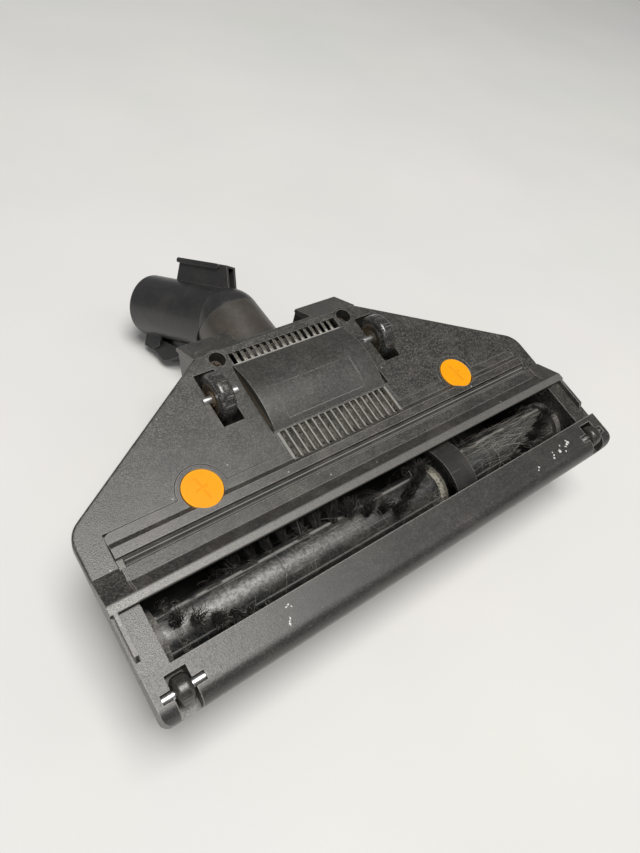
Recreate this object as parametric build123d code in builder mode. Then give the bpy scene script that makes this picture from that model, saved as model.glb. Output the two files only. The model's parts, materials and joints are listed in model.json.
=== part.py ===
# Turbine-driven vacuum floor brush head, lying on its top with the sole up.
# Millimetres, +Z up. The origin is on the flat of the crown that the head lies on, at mid width.
# Sizes are given in the sole's own frame: x across the head, y back from the nose, z out of the sole.
import os
from math import asin, atan2, cos, radians, sin, sqrt

from build123d import *

os.makedirs("parts", exist_ok=True)

# Attitude: the crown lies flat and the sole leans back
lean = 12.0
nose_back = 75.0
sole_rise = 47.0

# Fits
seat_gap = 0.25
run_gap = 0.4
pin_gap = 0.03
shaft_gap = 0.05

# How far a cut runs past the face that it opens
cut_over = 1.0

# Body
side_half = 138.6
tail_half = 51.6
flank_front = 84.0
flank_radius = 12.0
plate_rear = 141.4
plate_thick = 2.5
seam_drop = 6.0
wall = 2.2
edge_round = 1.2
hood_rear = 157.0
hood_drop = 10.0
hood_lip = 2.4
hood_notch = 144.5
neck_gap_half = 23.2

# Brush opening and brush bar
rail_width = 11.8
slot_half = side_half - rail_width
slot_front = 19.2
slot_rear = 45.0
brush_y = 32.2
brush_z = -16.9
core_radius = 11.0
brush_bearing_width = 3.9
core_end = slot_half - brush_bearing_width - run_gap
journal_radius = 3.0
ridge_angle = 52.0
ridge_width = 1.2
ridge_height = 0.5
ridge_count = 4
tuft_tip = 23.0
tuft_root_radius = 1.9
tuft_tip_radius = 2.8
tuft_pitch = 7.8
tuft_apex = 0.0
tuft_apex_angle = 105.0
tuft_twist = 1.7
tuft_margin = 3.5
tuft_end = core_end - tuft_margin
tuft_foot = 1.0
sweep_gap = 4.0
end_disc_radius = 13.5
end_wall = 2.2

# Front bar and its rollers
bar_rise = 7.5
bar_nose = 6.8
bar_corner = 4.0
roller_inset = 11.4
roller_x = side_half - roller_inset
roller_y = 9.1
roller_z = 4.7
roller_radius = 5.8
roller_width = 7.0
roller_pin_radius = 1.8
roller_round = 2.2
roller_pin_inset = 2.8
roller_pin_length = 17.8
roller_pin_outer = side_half - roller_pin_inset
roller_pin_inner = roller_pin_outer - roller_pin_length
pocket_gap = 0.9
pocket_half = roller_width / 2 + pocket_gap
pocket_rear = 16.2
pocket_floor = -2.0

# Rails and brush cover
rail_rise = 4.5
rail_gap = 0.2
recess_drop = 2.6
brush_bay_rear = 60.0
wing_rear = 62.0
cover_rear = 77.6
cover_slope_foot = 73.0
cover_slope_head = 70.2
cover_flat = 2.0
groove_rear = 65.8
groove_front = 60.6
groove_floor = -0.5
front_flat_low = 2.6
front_flat_high = 3.0
front_slope_foot = 54.8
rim_rear = 48.8
cover_wall = 2.0
cover_corner = 3.0
end_rib_thick = 1.0
end_rib_rise = 0.9
leg_inset = 1.2
leg_thick = 1.8
leg_outer = side_half - leg_inset
leg_inner = leg_outer - leg_thick
leg_front = 25.5
tab_half = 36.4
tab_rear = 89.2
grille_half = 34.8
grille_front = 71.8
grille_rear = 88.2
grille_slots = 17
grille_pitch = 4.0
grille_slot_width = 3.1

# Lint strip
strip_y = 63.15
strip_base_half = 2.1
strip_base_thick = 0.9
strip_bead_radius = 1.1
strip_end_gap = 2.8
strip_half = slot_half - strip_end_gap

# Quarter-turn locks
lock_x = 80.9
lock_y = 78.1
lock_radius = 9.5
lock_rise = 0.4
lock_disc = 1.7
lug_radius = 12.0
lock_shank = 4.0
cam_length = 13.0
cam_width = 5.0
cam_thick = 1.6
coin_slot_length = 11.5
cross_slot_length = 6.2
coin_slot_width = 0.9
coin_slot_depth = 0.25
coin_slot_turn = 100.0

# Turbine panel and turbine
panel_half = 35.2
panel_front = 89.6
panel_rear = 130.2
panel_crest = 4.9
panel_wall = 2.0
panel_seat_front_half = 38.5
panel_seat_rear_half = 35.8
window_half = 32.0
window_front = 92.5
window_rear = 127.5
seat_frame_half = 41.0
label_left = 25.0
label_right = 23.0
label_front = 92.6
label_rear = 110.0
label_depth = 0.4
turbine_y = 106.0
turbine_z = -15.5
turbine_radius = 15.5
turbine_left = 30.0
turbine_right = 28.0
turbine_hub = 5.0
blade_count = 12
blade_thick = 1.2
blade_sweep = 25.0
blade_bow = 1.0
shaft_radius = 2.0
shaft_left = 37.0
shaft_right = 41.8
bearing_radius = 6.0
bearing_width = 3.6
left_bearing_x = 34.0
right_bearing_x = 31.0
bracket_thick = 2.4
bracket_half = 9.0
bracket_top = -8.0

# Belt drive
belt_x = 38.0
belt_width = 6.0
belt_thick = 0.9
brush_pulley_radius = 9.5
turbine_pulley_radius = 5.0
pulley_width = 8.0
pulley_flange = 0.8
flange_height = 1.4
core_neck = 6.0
collar_radius = 13.0
collar_thick = 1.5
guard_left = 30.7
guard_right = 44.5
guard_radius = 23.3
guard_wall = 1.8
guard_rear_angle = 32.0
guard_front_angle = 180.0
guard_tab = 2.6
belt_window = 5.4

# Vents and screws
vent_front = 131.2
vent_rear = 138.0
vent_count = 17
vent_pitch = 4.0
louvre_thick = 1.0
louvre_lean = 0.9
louvre_bow = 0.6
louvre_drop = 0.2
louvre_root = 0.5
screw_x = 40.5
screw_y = 137.0
screw_well_radius = 4.35
screw_well_wall = 1.5
screw_well_depth = 8.0
screw_floor = 2.0
screw_head_radius = 3.2
screw_head_high = 2.2
screw_shank_radius = 1.5
screw_length = 16.0
screw_drive_width = 0.9
screw_drive_length = 4.5
boss_radius = 3.2

# Rear wheels
wheel_x = 50.8
wheel_y = 117.5
wheel_radius = 12.3
wheel_width = 8.4
hub_radius = 8.2
hub_dish = 1.0
hub_boss_radius = 4.0
axle_radius = 2.1
tyre_round = 2.6
axle_inner = 40.4
axle_outer = 59.2
well_half = 5.75
well_front = 101.6
well_rear = 132.5
well_wall = 1.8

# Upper housing
housing_front = 0.8
draft = 8.0
nose_break_y = 2.0
nose_break_z = -22.0
crown_front = 14.0
crown_rear = 112.0
rear_depth = -64.0
nose_round = 18.0
nose_corner = 7.0
crown_round = 60.0
crown_edge = 6.0
partition = 2.2
cheek_front = 123.0
cheek_thick = 3.0

# Neck
neck_z = -41.4
hinge_y = 137.0
drum_radius = 22.0
drum_half = 22.0
drum_wall = 2.4
trunnion_radius = 8.0
trunnion_end = 28.0
neck_bearing_wall = 3.0
bend_y = 182.6
seam_radius = 20.2
elbow_flare = 0.058
elbow_start = 140.0
elbow_bore = 18.2
elbow_throat = 17.0
throat_length = 14.4
air_window_half = 16.0
air_window_drop = 14.0
spigot_length = 18.0
spigot_wall = 2.2
ring_width = 2.4
seam_gap = 0.3

# Swivel tube
tube_radius = 19.3
tube_length = 66.6
tube_bend = 37.8
tube_turn = 33.1
tube_bore = 16.3
socket_depth = 42.0
tube_throat = 15.0
tube_end_round = 2.2
rail_base_start = 1.5
rail_top_start = 6.0
rail_end = 44.0
rail_height = 32.5
rail_half = 4.0
rail_wall = 1.3
rail_lip_start = 11.0
rail_lip_half = 5.6
rail_lip_thick = 3.0
rail_lip_round = 1.4

# Release latch
latch_half = 4.2
latch_pivot_along = 52.0
latch_pivot_out = 24.2
latch_pin_radius = 1.25
latch_cheek = 1.8
latch_pin_cover = 0.7
latch_cheek_front = 47.0
latch_cheek_rear = 57.0
latch_tail = 27.0
latch_tip = 60.0
latch_tooth = 2.2
latch_travel = 7.0
latch_tip_out = 26.2
latch_shoulder_out = 28.2
latch_peak_out = 32.5
latch_peak_front = 45.0
latch_peak_rear = 40.0
latch_tail_out = 25.3
latch_tail_gap = 4.4
latch_heel_gap = 1.2
spring_radius = 1.9
spring_wire = 0.3
spring_turns = 3.0
spring_pitch = 0.8

# Air duct
duct_half = 21.0
duct_wall = 1.8
duct_top = -36.5
duct_depth_gap = 2.4
duct_inlet = 14.0

# Frames and planes
sole = Plane(
    origin=(0, -nose_back, sole_rise),
    x_dir=(1, 0, 0),
    z_dir=(0, -sin(radians(lean)), cos(radians(lean))),
)


def at(x, y, z):
    """Point of the sole's frame as a point of the row."""
    return sole.from_local_coords(Vector(x, y, z))


def in_sole(shape):
    """Middle of a shape as a point of the sole's frame."""
    return sole.to_local_coords(shape.center())


def level(height):
    """Plane parallel to the sole face, height out of it."""
    return sole.offset(height)


def across(x):
    """Plane across the head: sketch x runs back from the nose, sketch y out of the sole."""
    return Plane(origin=at(x, 0, 0), x_dir=sole.y_dir, z_dir=sole.x_dir)


def hub(x, y, z, turn=0):
    """Plane across the head with its origin on an axle, turned about that axle."""
    radial = sole.y_dir * cos(radians(turn)) + sole.z_dir * sin(radians(turn))
    return Plane(origin=at(x, y, z), x_dir=radial, z_dir=sole.x_dir)


def crown(y):
    """Depth of the crown's flat, which lies on the floor."""
    return -(sole_rise + y * sin(radians(lean))) / cos(radians(lean))


def both_sides(points):
    """Close a right-hand half outline with its mirror image."""
    return points + [(-x, y) for x, y in reversed(points)]


def corners_at(sketch, y):
    """Corners of a sketch that lie at one distance from the nose."""
    return sketch.vertices().filter_by(lambda corner: abs(corner.Y - y) < 0.01)


def corner_near(sketch, x, y):
    """Corner of a sketch nearest to a point."""
    return sketch.vertices().sort_by_distance((x, y))[0]


def flank_x(y):
    """Half width of the head on its slanted flank."""
    return side_half - (y - flank_front) * (side_half - tail_half) / (plate_rear - flank_front)


flank = [(side_half, flank_front), (tail_half, plate_rear)]
flank_inset = wall * sqrt(1 + ((side_half - tail_half) / (plate_rear - flank_front)) ** 2)
chamber_radius = tuft_tip + sweep_gap
bay_front = slot_front + rail_gap
well_mid = (well_front + well_rear) / 2
well_radius = (well_rear - well_front) / 2

# Section of one vent louvre, a curved blade as deep as the plate
with BuildSketch() as louvre:
    with BuildLine():
        ThreePointArc(
            (-louvre_lean, louvre_thick / 2 - plate_thick),
            (louvre_bow, -plate_thick / 2),
            (louvre_lean, -louvre_drop - louvre_thick / 2),
        )
        offset(amount=louvre_thick / 2)
    make_face()

# Base plate
with BuildPart() as base_plate:
    with BuildSketch(level(-seam_drop)) as footprint:
        Polygon(*both_sides([(side_half, bay_front)] + flank))
        fillet(corners_at(footprint, flank_front), flank_radius)
    extrude(amount=seam_drop)
    rim = base_plate.faces().sort_by(Axis(sole.origin, sole.z_dir))[-1].outer_wire().edges()
    fillet(rim.filter_by(Axis.X, reverse=True), edge_round)
    # Hood that slopes down over the neck
    with BuildSketch(across(0)):
        Polygon(
            (plate_rear, -seam_drop),
            (plate_rear, 0),
            (hood_rear, -hood_drop),
            (hood_rear, -hood_drop - hood_lip),
        )
    extrude(amount=tail_half, both=True)
    with BuildSketch(level(0)):
        with Locations((0, hood_notch)):
            Rectangle(2 * neck_gap_half, hood_rear, align=(Align.CENTER, Align.MIN))
    extrude(amount=2 * hood_drop, both=True, mode=Mode.SUBTRACT)
    # Hollow underside behind the turbine window
    with BuildSketch(level(-seam_drop)):
        Polygon(*both_sides([
            (flank_x(window_front) - flank_inset, window_front),
            (flank_x(plate_rear - wall) - flank_inset, plate_rear - wall),
        ]))
        with Locations((0, window_front)):
            Rectangle(2 * seat_frame_half, panel_rear + wall - window_front,
                      align=(Align.CENTER, Align.MIN), mode=Mode.SUBTRACT)
    extrude(amount=seam_drop - plate_thick, mode=Mode.SUBTRACT)
    # Side rails beside the brush opening
    for side in (-1, 1):
        with BuildSketch(level(0)):
            with Locations((side * (slot_half + side_half) / 2, bay_front)):
                Rectangle(side_half - slot_half, slot_rear - rail_gap - bay_front,
                          align=(Align.CENTER, Align.MIN))
        extrude(amount=rail_rise)
    # Brush bay
    with BuildSketch(level(-seam_drop)):
        with Locations((0, 0)):
            Rectangle(2 * slot_half, brush_bay_rear, align=(Align.CENTER, Align.MIN))
    extrude(amount=2 * seam_drop, mode=Mode.SUBTRACT)
    # Seat of the brush cover
    with BuildSketch(level(-recess_drop)):
        with Locations((0, slot_rear - rail_gap)):
            Rectangle(2 * (side_half + cut_over), wing_rear + seat_gap - slot_rear + rail_gap,
                      align=(Align.CENTER, Align.MIN))
            Rectangle(2 * (slot_half + seat_gap), cover_rear + seat_gap - slot_rear + rail_gap,
                      align=(Align.CENTER, Align.MIN))
        with Locations((-lock_x, lock_y), (lock_x, lock_y)):
            Circle(lug_radius + seat_gap)
        with Locations((0, cover_slope_foot)):
            Rectangle(2 * (tab_half + seat_gap), tab_rear + seat_gap / 2 - cover_slope_foot,
                      align=(Align.CENTER, Align.MIN))
    extrude(amount=2 * seam_drop, mode=Mode.SUBTRACT)
    # Seat and window of the turbine panel
    with BuildSketch(level(-recess_drop)):
        Polygon(*both_sides([
            (panel_seat_front_half, panel_front - seat_gap / 2),
            (panel_seat_rear_half, panel_rear + seat_gap),
        ]))
    extrude(amount=seam_drop, mode=Mode.SUBTRACT)
    with BuildSketch(level(0)):
        with Locations((0, window_front)):
            Rectangle(2 * window_half, window_rear - window_front, align=(Align.CENTER, Align.MIN))
        with Locations((0, (grille_front + grille_rear) / 2)):
            Rectangle(2 * grille_half, grille_rear - grille_front)
        with Locations((-lock_x, lock_y), (lock_x, lock_y)):
            Circle(lock_shank + run_gap)
            SlotOverall(cam_length + 2 * run_gap, cam_width + 2 * run_gap, rotation=90)
    extrude(amount=2 * seam_drop, both=True, mode=Mode.SUBTRACT)
    # Wheel wells, half round
    for side in (-1, 1):
        with BuildSketch(hub(side * wheel_x, well_mid, 0)):
            Circle(well_radius + well_wall)
            Rectangle(3 * well_radius, 3 * well_radius, align=(Align.CENTER, Align.MIN),
                      mode=Mode.SUBTRACT)
        extrude(amount=well_half + well_wall, both=True)
    for side in (-1, 1):
        with BuildSketch(hub(side * wheel_x, well_mid, 0)):
            Circle(well_radius)
        extrude(amount=well_half, both=True, mode=Mode.SUBTRACT)
        with BuildSketch(hub(side * (axle_inner + axle_outer) / 2, wheel_y, 0)):
            Circle(axle_radius + pin_gap)
        extrude(amount=(axle_outer - axle_inner) / 2 + pin_gap, both=True, mode=Mode.SUBTRACT)
    # Screw wells
    with BuildSketch(level(-screw_well_depth - screw_floor)):
        with Locations((-screw_x, screw_y), (screw_x, screw_y)):
            Circle(screw_well_radius + screw_well_wall)
    extrude(amount=screw_well_depth + screw_floor)
    with BuildSketch(level(-screw_well_depth)):
        with Locations((-screw_x, screw_y), (screw_x, screw_y)):
            Circle(screw_well_radius)
    extrude(amount=2 * screw_well_depth, mode=Mode.SUBTRACT)
    with BuildSketch(level(0)):
        with Locations((-screw_x, screw_y), (screw_x, screw_y)):
            Circle(screw_shank_radius + shaft_gap)
        with Locations((0, (vent_front + vent_rear) / 2)):
            Rectangle(vent_count * vent_pitch, vent_rear - vent_front)
    extrude(amount=2 * screw_well_depth, both=True, mode=Mode.SUBTRACT)
    # Curved louvres across the vent, rooted in its front and rear edges
    vent_face = Plane(origin=at(0, vent_front - louvre_root, 0), x_dir=-sole.x_dir, z_dir=sole.y_dir)
    with BuildSketch(vent_face):
        with GridLocations(vent_pitch, 0, vent_count - 1, 1):
            add(louvre.sketch)
    extrude(amount=vent_rear - vent_front + 2 * louvre_root)
base_plate.part.label = "base_plate"
export_step(base_plate.part, "parts/base_plate.step")

# Front bar
with BuildPart() as front_bar:
    with BuildSketch(across(0)) as section:
        Polygon((0, -seam_drop), (0, bar_rise), (slot_front, bar_rise), (slot_front, -seam_drop))
        fillet(corner_near(section, 0, bar_rise), bar_nose)
    extrude(amount=side_half, both=True)
    with BuildSketch(level(-2 * seam_drop)) as plan:
        Polygon(*both_sides([(side_half, 0), (side_half, slot_front)]))
        fillet(corners_at(plan, 0), bar_corner)
    extrude(amount=4 * seam_drop, mode=Mode.INTERSECT)
    with BuildSketch(hub(0, brush_y, brush_z)):
        Circle(chamber_radius)
    extrude(amount=core_end - run_gap, both=True, mode=Mode.SUBTRACT)
    for side in (-1, 1):
        with BuildSketch(across(side * roller_x)):
            with Locations((-cut_over, pocket_floor)):
                Rectangle(pocket_rear + cut_over, 2 * bar_rise, align=(Align.MIN, Align.MIN))
        extrude(amount=pocket_half, both=True, mode=Mode.SUBTRACT)
        with BuildSketch(hub(side * (roller_pin_inner + roller_pin_outer) / 2, roller_y, roller_z)):
            Circle(roller_pin_radius + pin_gap)
            Rectangle(2 * (roller_pin_radius + pin_gap), bar_rise, align=(Align.CENTER, Align.MIN))
        extrude(amount=(roller_pin_outer - roller_pin_inner) / 2 + pin_gap, both=True,
                mode=Mode.SUBTRACT)
front_bar.part.label = "front_bar"
export_step(front_bar.part, "parts/front_bar.step")

# Brush cover
with BuildPart() as brush_cover:
    with BuildSketch(across(0)) as section:
        Polygon(
            (cover_rear, -recess_drop),
            (cover_rear, 0),
            (cover_slope_foot, 0),
            (cover_slope_head, cover_flat),
            (groove_rear, cover_flat),
            (groove_rear, groove_floor),
            (groove_front, groove_floor),
            (groove_front, front_flat_low),
            (front_slope_foot, front_flat_high),
            (rim_rear, bar_rise),
            (slot_rear, bar_rise),
            (slot_rear, bar_rise - cover_wall),
            (rim_rear - cover_wall / 2, bar_rise - cover_wall),
            (front_slope_foot - cover_wall / 2, front_flat_high - cover_wall),
            (groove_front - cover_wall, front_flat_low - cover_wall),
            (groove_front - cover_wall, -recess_drop),
        )
        fillet(corner_near(section, rim_rear, bar_rise), edge_round)
        fillet(corner_near(section, slot_rear, bar_rise), edge_round / 2)
    extrude(amount=slot_half, both=True)
    uprights = brush_cover.edges().filter_by(Axis(sole.origin, sole.z_dir))
    fillet(uprights.filter_by(lambda edge: in_sole(edge).Y > cover_slope_foot), cover_corner)
    # End wings and legs
    for side in (-1, 1):
        with BuildSketch(across(side * (slot_half + side_half) / 2)) as wing:
            Polygon(
                (wing_rear, -recess_drop),
                (wing_rear, 0),
                (rim_rear, bar_rise),
                (slot_rear, bar_rise),
                (slot_rear, -recess_drop),
            )
            fillet(corner_near(wing, rim_rear, bar_rise), edge_round)
        extrude(amount=(side_half - slot_half) / 2, both=True)
        with BuildSketch(across(side * (leg_inner + leg_outer) / 2)):
            Polygon(
                (leg_front, rail_rise),
                (leg_front + cover_wall, bar_rise),
                (slot_rear, bar_rise),
                (slot_rear, rail_rise),
            )
        extrude(amount=(leg_outer - leg_inner) / 2, both=True)
        with BuildSketch(across(side * slot_half)):
            Polygon(
                (groove_front, front_flat_low - end_rib_rise),
                (groove_front, front_flat_low + end_rib_rise),
                (front_slope_foot, front_flat_high + end_rib_rise),
                (rim_rear, bar_rise),
                (rim_rear, bar_rise - cover_wall),
                (front_slope_foot, front_flat_high - end_rib_rise),
            )
        extrude(amount=-side * end_rib_thick)
    # Lock lugs and grille tab
    with BuildSketch(level(-recess_drop)):
        with Locations((-lock_x, lock_y), (lock_x, lock_y)):
            Circle(lug_radius)
        with Locations((0, cover_slope_foot)):
            RectangleRounded(2 * tab_half, tab_rear - cover_slope_foot, edge_round,
                             align=(Align.CENTER, Align.MIN))
    extrude(amount=recess_drop)
    with BuildSketch(level(lock_rise - lock_disc - run_gap)):
        with Locations((-lock_x, lock_y), (lock_x, lock_y)):
            Circle(lock_radius + run_gap)
    extrude(amount=bar_rise, mode=Mode.SUBTRACT)
    with BuildSketch(level(-seam_drop)):
        with Locations((-lock_x, lock_y), (lock_x, lock_y)):
            Circle(lock_shank + run_gap)
            SlotOverall(cam_length + 2 * run_gap, cam_width + 2 * run_gap, rotation=90)
        with Locations((0, (grille_front + grille_rear) / 2)):
            with GridLocations(grille_pitch, 0, grille_slots, 1):
                Rectangle(grille_slot_width, grille_rear - grille_front)
    extrude(amount=2 * seam_drop, mode=Mode.SUBTRACT)
brush_cover.part.label = "brush_cover"
export_step(brush_cover.part, "parts/brush_cover.step")

# Lint strip in the cover's groove
with BuildPart() as lint_strip:
    with BuildSketch(across(0)):
        with Locations((strip_y, groove_floor)):
            Rectangle(2 * strip_base_half, strip_base_thick, align=(Align.CENTER, Align.MIN))
        with Locations((strip_y, groove_floor + strip_base_thick + strip_bead_radius / 2)):
            Circle(strip_bead_radius)
    extrude(amount=strip_half, both=True)
lint_strip.part.label = "lint_strip"
export_step(lint_strip.part, "parts/lint_strip.step")

# Quarter-turn locks: a disc with a fine crossed slot, a shank and a cam under the base plate
for name, side in (("left_lock", -1), ("right_lock", 1)):
    with BuildPart() as lock:
        with BuildSketch(level(lock_rise - lock_disc)):
            with Locations((side * lock_x, lock_y)):
                Circle(lock_radius)
        extrude(amount=lock_disc)
        with BuildSketch(level(lock_rise - coin_slot_depth)):
            with Locations((side * lock_x, lock_y)):
                SlotOverall(coin_slot_length, coin_slot_width, rotation=coin_slot_turn)
                SlotOverall(cross_slot_length, coin_slot_width, rotation=coin_slot_turn - 90)
        extrude(amount=lock_disc, mode=Mode.SUBTRACT)
        with BuildSketch(level(lock_rise - lock_disc)):
            with Locations((side * lock_x, lock_y)):
                Circle(lock_shank)
        extrude(amount=lock_disc - lock_rise - seam_drop - run_gap)
        with BuildSketch(level(-seam_drop - run_gap)):
            with Locations((side * lock_x, lock_y)):
                SlotOverall(cam_length, cam_width)
        extrude(amount=-cam_thick)
    lock.part.label = name
    export_step(lock.part, f"parts/{name}.step")

# Turbine panel, an arched lid with a bare label recess
panel_mid = (panel_front + panel_rear) / 2
panel_span = (panel_rear - panel_front) / 2
panel_arc = (panel_span**2 + panel_crest**2) / (2 * panel_crest)
with BuildPart() as turbine_cover:
    with BuildSketch(across(0)):
        with Locations((panel_mid, panel_crest - panel_arc)):
            Circle(panel_arc)
        with Locations((panel_mid, -recess_drop)):
            Rectangle(2 * panel_span, panel_crest + recess_drop + cut_over, align=(Align.CENTER, Align.MIN),
                      mode=Mode.INTERSECT)
    extrude(amount=panel_half, both=True)
    with BuildSketch(across(0)):
        with Locations((panel_mid, panel_crest - panel_arc)):
            Circle(panel_arc - panel_wall)
        with Locations((panel_mid, -2 * recess_drop)):
            Rectangle(window_rear - window_front, 4 * recess_drop, align=(Align.CENTER, Align.MIN),
                      mode=Mode.INTERSECT)
    extrude(amount=window_half, both=True, mode=Mode.SUBTRACT)
    with BuildSketch(across(-label_left)):
        with Locations((panel_mid, panel_crest - panel_arc)):
            Circle(panel_arc + cut_over)
            Circle(panel_arc - label_depth, mode=Mode.SUBTRACT)
        with Locations((label_front, 0)):
            Rectangle(label_rear - label_front, 2 * panel_crest, align=(Align.MIN, Align.MIN),
                      mode=Mode.INTERSECT)
    extrude(amount=label_left + label_right, mode=Mode.SUBTRACT)
turbine_cover.part.label = "turbine_cover"
export_step(turbine_cover.part, "parts/turbine_cover.step")

# Belt guard: an arch over the brush pulley with a tab at each foot
guard_mid = (guard_left + guard_right) / 2
guard_half = (guard_right - guard_left) / 2
with BuildPart() as belt_guard:
    with BuildSketch(hub(guard_mid, brush_y, brush_z)):
        with BuildLine():
            CenterArc((0, 0), guard_radius, guard_rear_angle, guard_front_angle - guard_rear_angle)
            CenterArc((0, 0), guard_radius - guard_wall, guard_rear_angle,
                      guard_front_angle - guard_rear_angle)
            for angle in (guard_rear_angle, guard_front_angle):
                Line(
                    ((guard_radius - guard_wall) * cos(radians(angle)),
                     (guard_radius - guard_wall) * sin(radians(angle))),
                    (guard_radius * cos(radians(angle)), guard_radius * sin(radians(angle))),
                )
        make_face()
    extrude(amount=guard_half, both=True)
    rear_foot_z = brush_z + guard_radius * sin(radians(guard_rear_angle))
    rear_foot_y = brush_y + (guard_radius - guard_wall) * cos(radians(guard_rear_angle))
    with BuildSketch(across(guard_mid)):
        with Locations((rear_foot_y, rear_foot_z - guard_tab / 2)):
            Rectangle(brush_bay_rear - rear_foot_y, guard_tab, align=(Align.MIN, Align.MIN))
        with Locations((brush_y - guard_radius + guard_wall / 2, brush_z)):
            Rectangle(brush_y - guard_radius - housing_front - 2 * wall, guard_tab,
                      align=(Align.MAX, Align.MIN))
    extrude(amount=guard_half, both=True)
belt_guard.part.label = "belt_guard"
export_step(belt_guard.part, "parts/belt_guard.step")

# Brush core: a roller with lengthwise ridges, a waist for the belt pulley and end journals
pulley_half = pulley_width / 2
with BuildPart() as brush_core:
    with BuildSketch(hub(0, brush_y, brush_z)):
        Circle(core_radius)
        with PolarLocations(core_radius, ridge_count, start_angle=ridge_angle):
            Rectangle(2 * ridge_height, ridge_width)
    extrude(amount=core_end, both=True)
    with BuildSketch(hub(belt_x, brush_y, brush_z)):
        Circle(collar_radius)
    extrude(amount=pulley_half + collar_thick, both=True)
    with BuildSketch(hub(belt_x, brush_y, brush_z)):
        Circle(2 * collar_radius)
        Circle(core_neck, mode=Mode.SUBTRACT)
    extrude(amount=pulley_half, both=True, mode=Mode.SUBTRACT)
    with BuildSketch(hub(0, brush_y, brush_z)):
        Circle(journal_radius)
    extrude(amount=slot_half - run_gap, both=True)
brush_core.part.label = "brush_core"
export_step(brush_core.part, "parts/brush_core.step")

# Bristle tufts in two chevron rows, each tuft a flared cone that stands on the core
tuft_columns = range(-int(tuft_end / tuft_pitch), int(tuft_end / tuft_pitch) + 1)
tuft_spots = [tuft_apex + tuft_pitch * column for column in tuft_columns]
tuft_spots = [x for x in tuft_spots if abs(x) < tuft_end]
guard_reach = guard_half + tuft_tip_radius + run_gap
with BuildPart() as brush_tufts:
    for x in tuft_spots:
        if abs(x - guard_mid) < guard_reach:
            continue
        for row in (0, 180):
            angle = radians(tuft_apex_angle + row - tuft_twist * abs(x - tuft_apex))
            outward = sole.y_dir * cos(angle) + sole.z_dir * sin(angle)
            root = Plane(origin=at(x, brush_y, brush_z), x_dir=sole.x_dir, z_dir=outward)
            with BuildSketch(root.offset(core_radius - tuft_foot)):
                Circle(tuft_root_radius)
            with BuildSketch(root.offset(tuft_tip)):
                Circle(tuft_tip_radius)
            loft()
    with BuildSketch(hub(0, brush_y, brush_z)):
        Circle(core_radius + 2 * ridge_height)
    extrude(amount=core_end, both=True, mode=Mode.SUBTRACT)
brush_tufts.part.label = "brush_tufts"
export_step(brush_tufts.part, "parts/brush_tufts.step")


def pulley_on(plane, radius, bore):
    """Flat belt pulley with two low flanges."""
    with BuildPart() as pulley:
        with BuildSketch(plane):
            Circle(radius + flange_height)
            Circle(bore, mode=Mode.SUBTRACT)
        extrude(amount=pulley_half, both=True)
        with BuildSketch(plane):
            Circle(2 * radius + flange_height)
            Circle(radius, mode=Mode.SUBTRACT)
        extrude(amount=pulley_half - pulley_flange, both=True, mode=Mode.SUBTRACT)
    return pulley.part


brush_pulley = pulley_on(hub(belt_x, brush_y, brush_z), brush_pulley_radius, core_neck)
brush_pulley.label = "brush_pulley"
export_step(brush_pulley, "parts/brush_pulley.step")

turbine_pulley = pulley_on(hub(belt_x, turbine_y, turbine_z), turbine_pulley_radius, shaft_radius)
turbine_pulley.label = "turbine_pulley"
export_step(turbine_pulley, "parts/turbine_pulley.step")

# Drive belt, a flat loop round both pulleys
belt_brush_radius = brush_pulley_radius + run_gap / 2
belt_turbine_radius = turbine_pulley_radius + run_gap / 2
belt_run = sqrt((turbine_y - brush_y) ** 2 + (turbine_z - brush_z) ** 2)
belt_slope = atan2(turbine_z - brush_z, turbine_y - brush_y)
belt_wrap = asin((belt_brush_radius - belt_turbine_radius) / belt_run)


def belt_outline(extra):
    """Loop outline round both pulleys, grown by extra, in the plane of the brush axis."""
    upper = belt_slope + radians(90) - belt_wrap
    lower = belt_slope - radians(90) + belt_wrap
    near = belt_brush_radius + extra
    far = belt_turbine_radius + extra
    shift_y = turbine_y - brush_y
    shift_z = turbine_z - brush_z
    with BuildLine() as loop:
        top = Line((near * cos(upper), near * sin(upper)),
                   (shift_y + far * cos(upper), shift_z + far * sin(upper)))
        ThreePointArc(top @ 1, (shift_y + far * cos(belt_slope), shift_z + far * sin(belt_slope)),
                      (shift_y + far * cos(lower), shift_z + far * sin(lower)))
        bottom = Line((shift_y + far * cos(lower), shift_z + far * sin(lower)),
                      (near * cos(lower), near * sin(lower)))
        ThreePointArc(bottom @ 1, (near * cos(belt_slope + radians(180)),
                                   near * sin(belt_slope + radians(180))), top @ 0)
    return loop.line


outer_loop = belt_outline(belt_thick)
inner_loop = belt_outline(0)
with BuildPart() as drive_belt:
    with BuildSketch(hub(belt_x, brush_y, brush_z)):
        make_face(outer_loop.edges())
        make_face(inner_loop.edges(), mode=Mode.SUBTRACT)
    extrude(amount=belt_width / 2, both=True)
drive_belt.part.label = "drive_belt"
export_step(drive_belt.part, "parts/drive_belt.step")

# Brush end bearings, discs that carry the journals
for name, side in (("left_brush_bearing", -1), ("right_brush_bearing", 1)):
    with BuildPart() as brush_bearing:
        with BuildSketch(hub(side * slot_half, brush_y, brush_z)):
            Circle(end_disc_radius)
            Circle(journal_radius + shaft_gap, mode=Mode.SUBTRACT)
        extrude(amount=-side * brush_bearing_width)
    brush_bearing.part.label = name
    export_step(brush_bearing.part, f"parts/{name}.step")

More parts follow.
